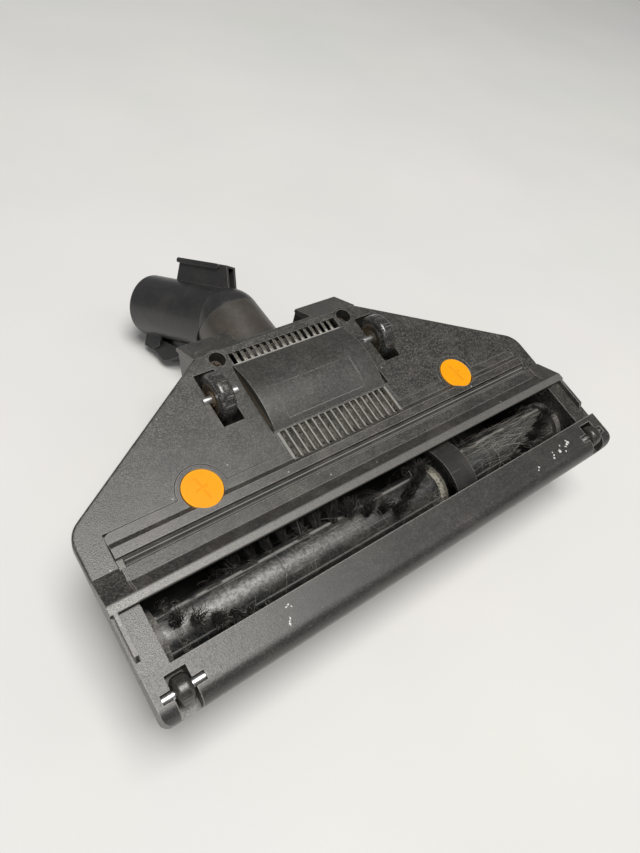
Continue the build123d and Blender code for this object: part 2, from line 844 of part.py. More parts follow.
# Turbine wheel: a hub with curved blades
turbine_mid = (turbine_right - turbine_left) / 2
turbine_half = (turbine_right + turbine_left) / 2
blade_reach = turbine_radius - blade_thick
with BuildPart() as turbine_wheel:
    with BuildSketch(hub(turbine_mid, turbine_y, turbine_z)):
        Circle(turbine_hub)
    extrude(amount=turbine_half, both=True)
    for blade in range(blade_count):
        with BuildSketch(hub(turbine_mid, turbine_y, turbine_z, blade * 360 / blade_count)):
            with BuildLine():
                ThreePointArc(
                    (turbine_hub - blade_thick, 0),
                    ((turbine_hub + blade_reach) / 2, -blade_bow),
                    (blade_reach * cos(radians(blade_sweep)), blade_reach * sin(radians(blade_sweep))),
                )
                offset(amount=blade_thick / 2)
            make_face()
        extrude(amount=turbine_half, both=True)
    with BuildSketch(hub(turbine_mid, turbine_y, turbine_z)):
        Circle(shaft_radius)
    extrude(amount=turbine_half, both=True, mode=Mode.SUBTRACT)
turbine_wheel.part.label = "turbine_wheel"
export_step(turbine_wheel.part, "parts/turbine_wheel.step")

with BuildPart() as turbine_shaft:
    with BuildSketch(hub(-shaft_left, turbine_y, turbine_z)):
        Circle(shaft_radius)
    extrude(amount=shaft_left + shaft_right)
turbine_shaft.part.label = "turbine_shaft"
export_step(turbine_shaft.part, "parts/turbine_shaft.step")

for name, x in (("left_turbine_bearing", -left_bearing_x), ("right_turbine_bearing", right_bearing_x)):
    with BuildPart() as turbine_bearing:
        with BuildSketch(hub(x, turbine_y, turbine_z)):
            Circle(bearing_radius)
            Circle(shaft_radius + shaft_gap, mode=Mode.SUBTRACT)
        extrude(amount=bearing_width / 2, both=True)
    turbine_bearing.part.label = name
    export_step(turbine_bearing.part, f"parts/{name}.step")

# Rear wheels: a dished hub with a tyre round it, on a steel axle in open grooves
for name, side in (("left", -1), ("right", 1)):
    with BuildPart() as rear_hub:
        with BuildSketch(hub(side * wheel_x, wheel_y, 0)):
            Circle(hub_radius)
            Circle(axle_radius + shaft_gap, mode=Mode.SUBTRACT)
        extrude(amount=wheel_width / 2, both=True)
        for face in (-1, 1):
            with BuildSketch(hub(side * wheel_x + face * wheel_width / 2, wheel_y, 0)):
                Circle(hub_radius - hub_dish)
                Circle(hub_boss_radius, mode=Mode.SUBTRACT)
            extrude(amount=-face * hub_dish, mode=Mode.SUBTRACT)
    rear_hub.part.label = f"{name}_wheel_hub"
    export_step(rear_hub.part, f"parts/{name}_wheel_hub.step")

    with BuildPart() as rear_tyre:
        with BuildSketch(hub(side * wheel_x, wheel_y, 0)):
            Circle(wheel_radius)
            Circle(hub_radius, mode=Mode.SUBTRACT)
        extrude(amount=wheel_width / 2, both=True)
        fillet(rear_tyre.edges().filter_by(GeomType.CIRCLE).sort_by(SortBy.RADIUS)[-2:], tyre_round)
    rear_tyre.part.label = f"{name}_wheel_tyre"
    export_step(rear_tyre.part, f"parts/{name}_wheel_tyre.step")

    with BuildPart() as rear_axle:
        with BuildSketch(hub(side * (axle_inner + axle_outer) / 2, wheel_y, 0)):
            Circle(axle_radius)
        extrude(amount=(axle_outer - axle_inner) / 2, both=True)
    rear_axle.part.label = f"{name}_wheel_axle"
    export_step(rear_axle.part, f"parts/{name}_wheel_axle.step")

    with BuildPart() as front_roller:
        with BuildSketch(hub(side * roller_x, roller_y, roller_z)):
            Circle(roller_radius)
            Circle(roller_pin_radius + shaft_gap, mode=Mode.SUBTRACT)
        extrude(amount=roller_width / 2, both=True)
        rims = front_roller.edges().filter_by(GeomType.CIRCLE).sort_by(SortBy.RADIUS)[-2:]
        fillet(rims, roller_round)
    front_roller.part.label = f"{name}_front_roller"
    export_step(front_roller.part, f"parts/{name}_front_roller.step")

    with BuildPart() as roller_pin:
        with BuildSketch(hub(side * (roller_pin_inner + roller_pin_outer) / 2, roller_y, roller_z)):
            Circle(roller_pin_radius)
        extrude(amount=(roller_pin_outer - roller_pin_inner) / 2, both=True)
    roller_pin.part.label = f"{name}_roller_pin"
    export_step(roller_pin.part, f"parts/{name}_roller_pin.step")

# Housing screws with crossed drives
with BuildPart() as housing_screws:
    for side in (-1, 1):
        with BuildSketch(level(-screw_well_depth)):
            with Locations((side * screw_x, screw_y)):
                Circle(screw_head_radius)
        extrude(amount=screw_head_high)
        with BuildSketch(level(-screw_well_depth)):
            with Locations((side * screw_x, screw_y)):
                Circle(screw_shank_radius)
        extrude(amount=-screw_length)
        with BuildSketch(level(-screw_well_depth + screw_head_high / 2)):
            with Locations((side * screw_x, screw_y)):
                Rectangle(screw_drive_length, screw_drive_width)
                Rectangle(screw_drive_width, screw_drive_length)
        extrude(amount=screw_head_high, mode=Mode.SUBTRACT)
housing_screws.part.label = "housing_screws"
export_step(housing_screws.part, "parts/housing_screws.step")


# Upper housing
def corner_edges(form, y):
    """Edges that run down the corners of a tapered form, near one distance from the nose."""
    slanting = form.edges().filter_by(GeomType.BSPLINE)
    return slanting.filter_by(lambda edge: abs(in_sole(edge).Y - y) < flank_radius)


def housing_form(inset):
    """Solid form of the upper housing with its walls moved in by inset."""
    with BuildPart() as form:
        with BuildSketch(level(-seam_drop)):
            Polygon(*both_sides([(side_half, housing_front)] + flank + [(tail_half, hood_rear)]))
            if inset:
                offset(amount=-inset, kind=Kind.INTERSECTION)
        extrude(amount=-2 * sole_rise, taper=draft)
        fillet(corner_edges(form, housing_front), nose_corner - inset)
        fillet(corner_edges(form, flank_front), flank_radius - inset)
        with BuildSketch(across(0)) as profile:
            Polygon(
                (housing_front, -seam_drop + 2 * inset),
                (nose_break_y, nose_break_z),
                (crown_front, crown(crown_front)),
                (crown_rear, crown(crown_rear)),
                (hood_rear, rear_depth),
                (hood_rear, -hood_drop - hood_lip + 2 * inset),
                (plate_rear, -seam_drop + 2 * inset),
            )
            fillet(corner_near(profile, nose_break_y, nose_break_z), nose_round)
            fillet(corner_near(profile, crown_front, crown(crown_front)), nose_round)
            fillet(corner_near(profile, crown_rear, crown(crown_rear)), crown_round)
            if inset:
                offset(amount=-inset, kind=Kind.INTERSECTION)
        extrude(amount=side_half, both=True, mode=Mode.INTERSECT)
        crown_rim = form.edges().filter_by(GeomType.BSPLINE)
        fillet(crown_rim.filter_by(lambda edge: in_sole(edge).Z < neck_z), crown_edge - inset)
    return form.part


outer_form = housing_form(0)
inner_form = housing_form(wall)
cheek_inner = neck_gap_half
boss_top = -screw_well_depth - screw_floor
with BuildPart() as ribs:
    # Rear wall of the brush chamber
    with BuildSketch(across(0)):
        with Locations((brush_bay_rear, -seam_drop)):
            Rectangle(partition, 2 * sole_rise, align=(Align.MIN, Align.MAX))
    extrude(amount=side_half, both=True)
    # End walls that carry the brush bearings
    for side in (-1, 1):
        with BuildSketch(across(side * slot_half)):
            with Locations((0, -seam_drop)):
                Rectangle(brush_bay_rear + partition, 2 * sole_rise, align=(Align.MIN, Align.MAX))
        extrude(amount=side * end_wall)
        # Cheeks beside the neck
        with BuildSketch(across(side * cheek_inner)):
            Polygon(
                (cheek_front, -seam_drop),
                (plate_rear, -seam_drop),
                (hood_rear, -hood_drop - hood_lip),
                (hood_rear, -2 * sole_rise),
                (cheek_front, -2 * sole_rise),
            )
        extrude(amount=side * cheek_thick)
    # Brackets of the turbine bearings
    for x in (-left_bearing_x, right_bearing_x):
        with BuildSketch(across(x)):
            with Locations((turbine_y, bracket_top)):
                Rectangle(2 * bracket_half, 2 * sole_rise, align=(Align.CENTER, Align.MAX))
        extrude(amount=bracket_thick / 2, both=True)
    # Screw bosses
    with BuildSketch(level(boss_top)):
        with Locations((-screw_x, screw_y), (screw_x, screw_y)):
            Circle(boss_radius)
    extrude(amount=-2 * sole_rise)
    add(outer_form, mode=Mode.INTERSECT)

with BuildPart() as upper_housing:
    add(outer_form)
    add(inner_form, mode=Mode.SUBTRACT)
    add(ribs.part)
    # Gap that the neck swings in
    with BuildSketch(level(-seam_drop)):
        with Locations((0, hinge_y - drum_radius - run_gap)):
            Rectangle(2 * neck_gap_half, hood_rear, align=(Align.CENTER, Align.MIN))
    extrude(amount=-2 * sole_rise, mode=Mode.SUBTRACT)
    # Seats of the neck, turbine bearings and screws
    with BuildSketch(hub(0, hinge_y, neck_z)):
        Circle(trunnion_radius + neck_bearing_wall)
    extrude(amount=trunnion_end, both=True, mode=Mode.SUBTRACT)
    with BuildSketch(hub(0, turbine_y, turbine_z)):
        Circle(bearing_radius)
    extrude(amount=seat_frame_half, both=True, mode=Mode.SUBTRACT)
    with BuildSketch(level(boss_top)):
        with Locations((-screw_x, screw_y), (screw_x, screw_y)):
            Circle(screw_shank_radius + shaft_gap)
    extrude(amount=screw_floor - screw_length - run_gap, mode=Mode.SUBTRACT)
    # Windows of the belt and of the air duct in the chamber's rear wall
    with BuildSketch(across(belt_x)):
        with Locations((brush_bay_rear - cut_over, brush_z)):
            Rectangle(partition + 2 * cut_over, 3 * brush_pulley_radius, align=(Align.MIN, Align.CENTER))
    extrude(amount=belt_window, both=True, mode=Mode.SUBTRACT)
    with BuildSketch(across(0)):
        with Locations((brush_bay_rear - cut_over, duct_top - duct_wall)):
            Rectangle(partition + 2 * cut_over, duct_inlet, align=(Align.MIN, Align.MAX))
    extrude(amount=duct_half - duct_wall, both=True, mode=Mode.SUBTRACT)
upper_housing.part.label = "upper_housing"
export_step(upper_housing.part, "parts/upper_housing.step")

# Neck elbow: a hollow hinge drum with trunnions and a tapered neck
elbow_axis = Axis(at(0, hinge_y, neck_z), sole.y_dir)


def elbow_radius(y):
    """Outside radius of the tapered neck."""
    return seam_radius + elbow_flare * (bend_y - y)


seam_y = bend_y - seam_gap / 2
throat_y = bend_y - throat_length
with BuildPart() as neck_elbow:
    with BuildSketch(hub(0, hinge_y, neck_z)):
        Circle(drum_radius)
    extrude(amount=drum_half, both=True)
    with BuildSketch(hub(0, hinge_y, neck_z)):
        Polygon(
            (elbow_start - hinge_y, 0),
            (elbow_start - hinge_y, elbow_radius(elbow_start)),
            (seam_y - hinge_y, elbow_radius(seam_y)),
            (seam_y - hinge_y, 0),
        )
    revolve(axis=elbow_axis)
    with BuildSketch(hub(0, hinge_y, neck_z)):
        Circle(drum_radius - drum_wall)
    extrude(amount=drum_half - drum_wall, both=True, mode=Mode.SUBTRACT)
    with BuildSketch(hub(0, hinge_y, neck_z)):
        Polygon(
            (0, 0),
            (0, elbow_bore),
            (throat_y - hinge_y, elbow_bore),
            (throat_y - hinge_y, elbow_throat),
            (bend_y - hinge_y, elbow_throat),
            (bend_y - hinge_y, 0),
        )
    revolve(axis=elbow_axis, mode=Mode.SUBTRACT)
    with BuildSketch(hub(0, hinge_y, neck_z)):
        with Locations((-drum_radius / 2, 0)):
            Rectangle(drum_radius + cut_over, 2 * air_window_drop)
    extrude(amount=air_window_half, both=True, mode=Mode.SUBTRACT)
    for side in (-1, 1):
        with BuildSketch(hub(side * drum_half, hinge_y, neck_z)):
            Circle(trunnion_radius)
        extrude(amount=side * (trunnion_end - drum_half))
neck_elbow.part.label = "neck_elbow"
export_step(neck_elbow.part, "parts/neck_elbow.step")

for name, side in (("left_neck_bearing", -1), ("right_neck_bearing", 1)):
    with BuildPart() as neck_bearing:
        with BuildSketch(hub(side * cheek_inner, hinge_y, neck_z)):
            Circle(trunnion_radius + neck_bearing_wall)
            Circle(trunnion_radius + shaft_gap, mode=Mode.SUBTRACT)
        extrude(amount=side * (trunnion_end - cheek_inner))
    neck_bearing.part.label = name
    export_step(neck_bearing.part, f"parts/{name}.step")

# Swivel tube, bent from the elbow's axis and turned to one side
bend = at(0, bend_y, neck_z)
turned = -sole.z_dir * cos(radians(tube_turn)) - sole.x_dir * sin(radians(tube_turn))
tube_dir = sole.y_dir * cos(radians(tube_bend)) + turned * sin(radians(tube_bend))
tube_top = sole.y_dir * sin(radians(tube_bend)) - turned * cos(radians(tube_bend))
tube_face = Plane(origin=bend, x_dir=tube_top, z_dir=tube_dir)
tube_side = Plane(origin=bend, x_dir=tube_dir, z_dir=tube_dir.cross(tube_top))
spigot_radius = elbow_throat - run_gap
pin_half = latch_half + run_gap + latch_cheek - latch_pin_cover
tooth_swing = (latch_pivot_out - tube_bore) * sin(radians(latch_travel))
with BuildPart() as swivel_tube:
    with BuildSketch(tube_face):
        Circle(tube_radius)
    extrude(amount=tube_length)
    tube_rim = swivel_tube.edges().filter_by(GeomType.CIRCLE).sort_by(Axis(bend, tube_dir))[-1]
    fillet(tube_rim, tube_end_round)
    with BuildSketch(tube_side):
        Circle(seam_radius)
        Rectangle(2 * seam_radius, seam_radius, align=(Align.CENTER, Align.MAX), mode=Mode.SUBTRACT)
    revolve(axis=Axis(bend, tube_dir))
    # Parking rail with a hollow web and an overhanging lip
    with BuildSketch(tube_side):
        Polygon(
            (rail_base_start, tube_bore),
            (rail_base_start, tube_radius),
            (rail_top_start, rail_height),
            (rail_end, rail_height),
            (rail_end, tube_bore),
        )
    extrude(amount=rail_half, both=True)
    with BuildSketch(tube_side) as lip:
        with Locations((rail_lip_start, rail_height)):
            Rectangle(rail_end + rail_lip_round - rail_lip_start, rail_lip_thick, align=(Align.MIN, Align.MAX))
        fillet(lip.vertices(), rail_lip_round)
    extrude(amount=rail_lip_half, both=True)
    with BuildSketch(tube_side):
        with Locations((0, tube_radius)):
            Rectangle(rail_end - rail_wall, rail_height - tube_radius - rail_wall,
                      align=(Align.MIN, Align.MIN))
    extrude(amount=rail_half - rail_wall, both=True, mode=Mode.SUBTRACT)
    # Cheeks that carry the latch pin
    for side in (-1, 1):
        with BuildSketch(tube_side.offset(side * (latch_half + run_gap))):
            Polygon(
                (latch_cheek_front, -tube_bore),
                (latch_cheek_front, -latch_pivot_out),
                (latch_pivot_along, -latch_pivot_out - 2 * latch_pin_radius),
                (latch_cheek_rear, -latch_pivot_out),
                (latch_cheek_rear, -tube_bore),
            )
        extrude(amount=side * latch_cheek)
    # Wand socket and air way
    with BuildSketch(tube_face.offset(tube_length)):
        Circle(tube_bore)
    extrude(amount=-socket_depth, mode=Mode.SUBTRACT)
    with BuildSketch(tube_face):
        Circle(tube_throat)
    extrude(amount=tube_length, mode=Mode.SUBTRACT)
    with BuildSketch(tube_side):
        Circle(seam_radius - drum_wall)
        Rectangle(2 * seam_radius, seam_radius, align=(Align.CENTER, Align.MAX), mode=Mode.SUBTRACT)
    revolve(axis=Axis(bend, tube_dir), mode=Mode.SUBTRACT)
    # Flat seam face of the swivel
    with BuildSketch(Plane(origin=at(0, bend_y + seam_gap / 2, neck_z), x_dir=sole.x_dir, z_dir=sole.y_dir)):
        Circle(2 * tube_length)
    extrude(amount=-2 * tube_length, mode=Mode.SUBTRACT)
    # Spigot in the elbow's throat
    spigot_plane = Plane(origin=at(0, bend_y, neck_z), x_dir=sole.x_dir, z_dir=sole.y_dir)
    with BuildSketch(spigot_plane.offset(-spigot_length)):
        Circle(spigot_radius)
        Circle(spigot_radius - spigot_wall, mode=Mode.SUBTRACT)
    extrude(amount=spigot_length + seam_gap / 2 + spigot_wall)
    with BuildSketch(spigot_plane.offset(seam_gap / 2)):
        Circle(seam_radius - spigot_wall / 2)
        Circle(spigot_radius - spigot_wall, mode=Mode.SUBTRACT)
    extrude(amount=spigot_wall)
    # Slot for the latch tooth, with room for its swing
    with BuildSketch(tube_side):
        with Locations((latch_tip - latch_tooth - run_gap, -tube_throat)):
            Rectangle(2 * (latch_tooth + run_gap) + tooth_swing, tube_radius, align=(Align.MIN, Align.MAX))
    extrude(amount=latch_half + run_gap, both=True, mode=Mode.SUBTRACT)
    with BuildSketch(tube_side):
        with Locations((latch_pivot_along, -latch_pivot_out)):
            Circle(latch_pin_radius + pin_gap)
    extrude(amount=pin_half + pin_gap, both=True, mode=Mode.SUBTRACT)
swivel_tube.part.label = "swivel_tube"
export_step(swivel_tube.part, "parts/swivel_tube.step")

# Retaining ring on the spigot, behind the elbow's throat
with BuildPart() as swivel_ring:
    with BuildSketch(spigot_plane.offset(-throat_length - run_gap)):
        Circle(elbow_bore - run_gap)
        Circle(spigot_radius, mode=Mode.SUBTRACT)
    extrude(amount=-ring_width)
swivel_ring.part.label = "swivel_ring"
export_step(swivel_ring.part, "parts/swivel_ring.step")

# Release latch: a rocking pedal with a tooth at its tip
spring_half = spring_turns * spring_pitch / 2
with BuildPart() as release_latch:
    with BuildSketch(tube_side) as pedal:
        Polygon(
            (latch_tip + latch_tooth, -tube_radius - run_gap),
            (latch_tip + latch_tooth, -latch_tip_out),
            (latch_pivot_along, -latch_shoulder_out),
            (latch_peak_front, -latch_peak_out),
            (latch_peak_rear, -latch_peak_out),
            (latch_tail, -latch_tail_out),
            (latch_tail, -tube_radius - latch_tail_gap),
            (latch_cheek_front, -tube_radius - latch_heel_gap),
        )
        fillet(corner_near(pedal, latch_peak_front, -latch_peak_out), edge_round)
        fillet(corner_near(pedal, latch_peak_rear, -latch_peak_out), edge_round)
    extrude(amount=latch_half, both=True)
    with BuildSketch(tube_side):
        with Locations((latch_tip, -tube_bore - seat_gap)):
            Rectangle(2 * latch_tooth, latch_tip_out - tube_bore - seat_gap,
                      align=(Align.CENTER, Align.MAX))
    extrude(amount=latch_half, both=True)
    with BuildSketch(tube_side):
        with Locations((latch_pivot_along, -latch_pivot_out)):
            Circle(latch_pin_radius + shaft_gap)
    extrude(amount=latch_half, both=True, mode=Mode.SUBTRACT)
    # Pocket of the spring, open towards the tube
    with BuildSketch(tube_side):
        with Locations((latch_pivot_along, -latch_pivot_out)):
            Circle(spring_radius + spring_wire + run_gap)
            Rectangle(2 * (spring_radius + spring_wire + run_gap), latch_pivot_out - tube_bore,
                      align=(Align.CENTER, Align.MIN))
    extrude(amount=spring_half + spring_wire + run_gap, both=True, mode=Mode.SUBTRACT)
release_latch.part.label = "release_latch"
export_step(release_latch.part, "parts/release_latch.step")

with BuildPart() as latch_pin:
    with BuildSketch(tube_side):
        with Locations((latch_pivot_along, -latch_pivot_out)):
            Circle(latch_pin_radius)
    extrude(amount=pin_half, both=True)
latch_pin.part.label = "latch_pin"
export_step(latch_pin.part, "parts/latch_pin.step")

# Latch spring, a coil round the pin in the latch's pocket
coil_centre = tube_side.from_local_coords(Vector(latch_pivot_along, -latch_pivot_out, -spring_half))
coil_plane = Plane(origin=coil_centre, x_dir=tube_dir, z_dir=tube_side.z_dir)
coil = coil_plane.location * Helix(spring_pitch, 2 * spring_half, spring_radius)
with BuildPart() as latch_spring:
    with BuildSketch(Plane(origin=coil @ 0, z_dir=coil % 0)):
        Circle(spring_wire)
    sweep(path=coil)
latch_spring.part.label = "latch_spring"
export_step(latch_spring.part, "parts/latch_spring.step")

# Air duct from the brush chamber to the hinge drum
duct_start = brush_bay_rear + partition
duct_end = hinge_y - drum_radius - run_gap


def duct_bed(y):
    """Depth of the duct's underside, just clear of the housing's crown."""
    return crown(y) + wall + duct_depth_gap


with BuildPart() as air_duct:
    with BuildSketch(across(0)):
        Polygon(
            (duct_start, duct_top),
            (duct_end, duct_top),
            (duct_end, duct_bed(duct_end)),
            (duct_start, duct_bed(duct_start)),
        )
    extrude(amount=duct_half, both=True)
    with BuildSketch(across(0)):
        Polygon(
            (duct_start, duct_top - duct_wall),
            (duct_end, duct_top - duct_wall),
            (duct_end, duct_bed(duct_end) + duct_wall),
            (duct_start, duct_bed(duct_start) + duct_wall),
        )
    extrude(amount=duct_half - duct_wall, both=True, mode=Mode.SUBTRACT)
air_duct.part.label = "air_duct"
export_step(air_duct.part, "parts/air_duct.step")
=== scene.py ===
# %% [markdown]
# # Vacuum floor brush head
#
# We dress a floor brush head that lies on its back, sole up. The solids come from the CAD frame and stay
# as they are. What we add here is what makes it look used: moulded grain, rounded edges that catch light,
# dust in the corners, scuffs, real bristles on the brush bar, the hair and lint caught in them, and fluff
# behind the air grille.

import json
import math

import bpy
import numpy as np
from mathutils import Matrix, Vector


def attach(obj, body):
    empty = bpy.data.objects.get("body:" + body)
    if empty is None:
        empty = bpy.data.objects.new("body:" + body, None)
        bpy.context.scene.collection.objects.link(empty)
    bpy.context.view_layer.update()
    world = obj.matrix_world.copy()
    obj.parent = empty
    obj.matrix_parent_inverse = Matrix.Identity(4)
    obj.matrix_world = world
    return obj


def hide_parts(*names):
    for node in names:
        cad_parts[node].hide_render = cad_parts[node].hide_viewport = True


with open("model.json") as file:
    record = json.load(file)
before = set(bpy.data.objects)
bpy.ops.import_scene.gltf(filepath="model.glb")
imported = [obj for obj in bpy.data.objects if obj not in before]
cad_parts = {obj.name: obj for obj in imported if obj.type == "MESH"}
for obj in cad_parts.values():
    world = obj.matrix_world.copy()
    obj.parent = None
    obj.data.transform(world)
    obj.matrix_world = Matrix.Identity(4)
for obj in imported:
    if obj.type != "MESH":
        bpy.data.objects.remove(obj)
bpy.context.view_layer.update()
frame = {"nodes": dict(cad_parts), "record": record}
nodes = frame["nodes"]
slot_of_node = {part["node"]: part["material_slot"] for part in frame["record"]["subparts"]}
print("loaded", len(nodes), "nodes in", len(set(slot_of_node.values())), "material slots")

# %% [markdown]
# The head was drawn in the frame of its sole: x runs across, y runs back from the nose and z comes out of
# the sole. It lies on its crown, so that frame leans back. One function takes us from the sole's
# millimetres to the metres of the row, and a second one goes round the axis of the brush bar.

# %% The frame of the sole
MM = 0.001
LEAN = math.radians(12.0)
NOSE_BACK = 75.0
SOLE_RISE = 47.0
BRUSH_Y = 32.2
BRUSH_Z = -16.9


def on_sole(x, y, z):
    """Point of the sole's frame, in millimetres, as a point of the row in metres."""
    row_y = y * math.cos(LEAN) - z * math.sin(LEAN) - NOSE_BACK
    row_z = y * math.sin(LEAN) + z * math.cos(LEAN) + SOLE_RISE
    return np.array((x, row_y, row_z)) * MM


def on_brush(x, radius, angle):
    """Point round the brush axis: angle 0 points to the rear of the head and 90 degrees out of the sole."""
    return on_sole(x, BRUSH_Y + radius * math.cos(angle), BRUSH_Z + radius * math.sin(angle))


print("brush axis at", on_sole(0, BRUSH_Y, BRUSH_Z).round(4))

# %% [markdown]
# Shader trees get long when every node takes four lines. These helpers keep them short: `put` adds a node
# and either links or sets each input, `calc` and `vector_calc` add maths nodes, `scaled` brightens or
# stretches, `blend` mixes two colours and `ramp` turns a range of values into a soft step. The last two open a
# node group and place it in a tree.

# %% Helpers for shader trees
def put(tree, kind, inputs=None, **settings):
    """Add a node. An input given as a socket is linked, and any other value is set on the socket."""
    node = tree.nodes.new(kind)
    for name, value in settings.items():
        setattr(node, name, value)
    for name, value in (inputs or {}).items():
        if isinstance(value, bpy.types.NodeSocket):
            tree.links.new(value, node.inputs[name])
        else:
            node.inputs[name].default_value = value
    return node


def calc(tree, operation, first, second=0.0, clamp=False):
    """Output of a maths node."""
    return put(tree, "ShaderNodeMath", {0: first, 1: second}, operation=operation, use_clamp=clamp).outputs[0]


def vector_calc(tree, operation, first, second):
    """Output of a vector maths node: a number for a dot product or a distance, else a vector."""
    output = "Value" if operation in ("DOT_PRODUCT", "DISTANCE") else "Vector"
    return put(tree, "ShaderNodeVectorMath", {0: first, 1: second}, operation=operation).outputs[output]


def scaled(tree, vector, factor):
    """Vector or colour times a number."""
    return put(tree, "ShaderNodeVectorMath", {0: vector, "Scale": factor}, operation="SCALE").outputs["Vector"]


def blend(tree, factor, under, over, mode="MIX"):
    """Colour that goes from under to over by a factor. The mix node keeps its colours in sockets 6 and 7."""
    inputs = {0: factor, 6: under, 7: over}
    return put(tree, "ShaderNodeMix", inputs, data_type="RGBA", blend_type=mode).outputs[2]


def ramp(tree, value, start, end):
    """Value that climbs smoothly from 0 at start to 1 at end."""
    return put(tree, "ShaderNodeMapRange", {"Value": value, "From Min": start, "From Max": end},
               interpolation_type="SMOOTHSTEP").outputs["Result"]


def new_group(name, inputs, outputs):
    """Empty shader node group with its sockets: inputs are name to default, outputs name to kind."""
    tree = bpy.data.node_groups.new(name, "ShaderNodeTree")
    for label, default in inputs.items():
        kind = "NodeSocketColor" if isinstance(default, tuple) else "NodeSocketFloat"
        tree.interface.new_socket(label, in_out="INPUT", socket_type=kind).default_value = default
    for label, kind in outputs.items():
        tree.interface.new_socket(label, in_out="OUTPUT", socket_type=kind)
    return tree, tree.nodes.new("NodeGroupInput").outputs, tree.nodes.new("NodeGroupOutput").inputs


def use_group(tree, group, inputs=None):
    """Add a node group to a tree and return its outputs."""
    return put(tree, "ShaderNodeGroup", inputs, node_tree=group).outputs


print("helpers ready")

# %% [markdown]
# Every finish starts from a new material and ends at the same three inputs of its shader. Some finishes get
# marks later, and for those we need the colour that is already linked.

# %% Helpers for materials
def new_material(name):
    """New material with its node tree and its shader."""
    material = bpy.data.materials.new(name)
    material.use_nodes = True
    return material, material.node_tree, material.node_tree.nodes["Principled BSDF"]


def present_look(material):
    """Node tree, shader and present colour of a finish, for laying more over it."""
    tree = material.node_tree
    shader = tree.nodes["Principled BSDF"]
    return tree, shader, shader.inputs["Base Color"].links[0].from_socket


def link_look(tree, shader, tone, sheen, bumps):
    """Link colour, roughness and bump to a shader."""
    tree.links.new(tone, shader.inputs["Base Color"])
    tree.links.new(sheen, shader.inputs["Roughness"])
    tree.links.new(bumps, shader.inputs["Normal"])


print("material helpers ready")

# %% [markdown]
# ## Effects shared by all the plastics
#
# Moulded plastic carries the texture of its steel mould. A spark-eroded mould leaves a fine crust, so the
# grain is a noise with small cells laid over it. We give out its height for bump, and a speckle that is
# bright in some of the cells, because the peaks of worn grain glint one by one. The finishes paint this
# speckle into their colour as painted glints.

# %% Grain of the mould
VALUE = "NodeSocketFloat"
grain_group, given, result = new_group(
    "moulded_grain", {"Scale": 1500.0}, {"Height": VALUE, "Speckle": VALUE})
place = put(grain_group, "ShaderNodeTexCoord").outputs["Object"]
crust = put(grain_group, "ShaderNodeTexNoise",
            {"Vector": place, "Scale": given["Scale"], "Detail": 3.0, "Roughness": 0.65}).outputs[0]
cells = put(grain_group, "ShaderNodeTexVoronoi",
            {"Vector": place, "Scale": given["Scale"]}, feature="F1").outputs
domes = calc(grain_group, "MULTIPLY", cells["Distance"], 0.3)
height = calc(grain_group, "ADD", calc(grain_group, "MULTIPLY", crust, 0.7), domes)
chance = put(grain_group, "ShaderNodeSeparateColor", {0: cells["Color"]}).outputs[0]
grain_group.links.new(height, result["Height"])
grain_group.links.new(ramp(grain_group, chance, 0.45, 1.0), result["Speckle"])
print("made", grain_group.name)

# %% [markdown]
# No moulded edge is sharp. The Bevel node bends the normal near an edge, which gives a thin highlight with
# no extra faces. The same node tells us where the edges are: there the bent normal leaves the flat one. An
# occlusion test separates open edges, which the finishes paint pale for wear and as a painted edge highlight,
# from inner corners, which collect dust.

# %% Edges and corners
RAYS = 3
EDGE_TURN = (0.004, 0.08)
OPEN_EDGE = (0.55, 0.8)
INNER_CORNER = (0.75, 0.25)
edges_group, given, result = new_group(
    "edges_and_corners", {"Radius": 0.0005, "Reach": 0.004},
    {"Normal": "NodeSocketVector", "Edge": VALUE, "Corner": VALUE})
rounded = put(edges_group, "ShaderNodeBevel", {"Radius": given["Radius"]}, samples=RAYS).outputs[0]
flat = put(edges_group, "ShaderNodeNewGeometry").outputs["Normal"]
along = vector_calc(edges_group, "DOT_PRODUCT", rounded, flat)
openness = put(edges_group, "ShaderNodeAmbientOcclusion",
               {"Distance": given["Reach"]}, samples=RAYS).outputs["AO"]
turned = ramp(edges_group, calc(edges_group, "SUBTRACT", 1.0, along), *EDGE_TURN)
open_edge = calc(edges_group, "MULTIPLY", turned, ramp(edges_group, openness, *OPEN_EDGE))
edges_group.links.new(rounded, result["Normal"])
edges_group.links.new(open_edge, result["Edge"])
edges_group.links.new(ramp(edges_group, openness, *INNER_CORNER), result["Corner"])
print("made", edges_group.name)

# %% [markdown]
# Dust is house dust: pale, matt and patchy. It settles in the corners first and then in soft patches. Two
# noises of different size break it up so that no part of the head has an even coat. A few crumbs lie on
# top: small dots in cells of a Voronoi texture, kept only where the cell's own random colour is high.

# %% Dust
FILM = (0.42, 0.7)
HEAP = (0.3, 0.6)
SPECKS = (0.35, 0.6)
CRUMB_EDGE = (0.09, 0.05)
CRUMB_LUCK = 0.86
dust_group, given, result = new_group(
    "settled_dust", {"Corner": 0.0, "Cover": 0.3, "Scale": 90.0}, {"Mask": VALUE, "Crumbs": VALUE})
place = put(dust_group, "ShaderNodeTexCoord").outputs["Object"]
patches = put(dust_group, "ShaderNodeTexNoise",
              {"Vector": place, "Scale": given["Scale"], "Detail": 4.0, "Roughness": 0.6}).outputs[0]
specks = put(dust_group, "ShaderNodeTexNoise", {"Vector": place, "Scale": 2600.0, "Detail": 1.0}).outputs[0]
film = calc(dust_group, "MULTIPLY", ramp(dust_group, patches, *FILM), 0.55)
heap = calc(dust_group, "MULTIPLY", given["Corner"], ramp(dust_group, patches, *HEAP))
loose = calc(dust_group, "MULTIPLY", calc(dust_group, "ADD", film, heap), ramp(dust_group, specks, *SPECKS))
dust_group.links.new(calc(dust_group, "MULTIPLY", loose, given["Cover"], clamp=True), result["Mask"])
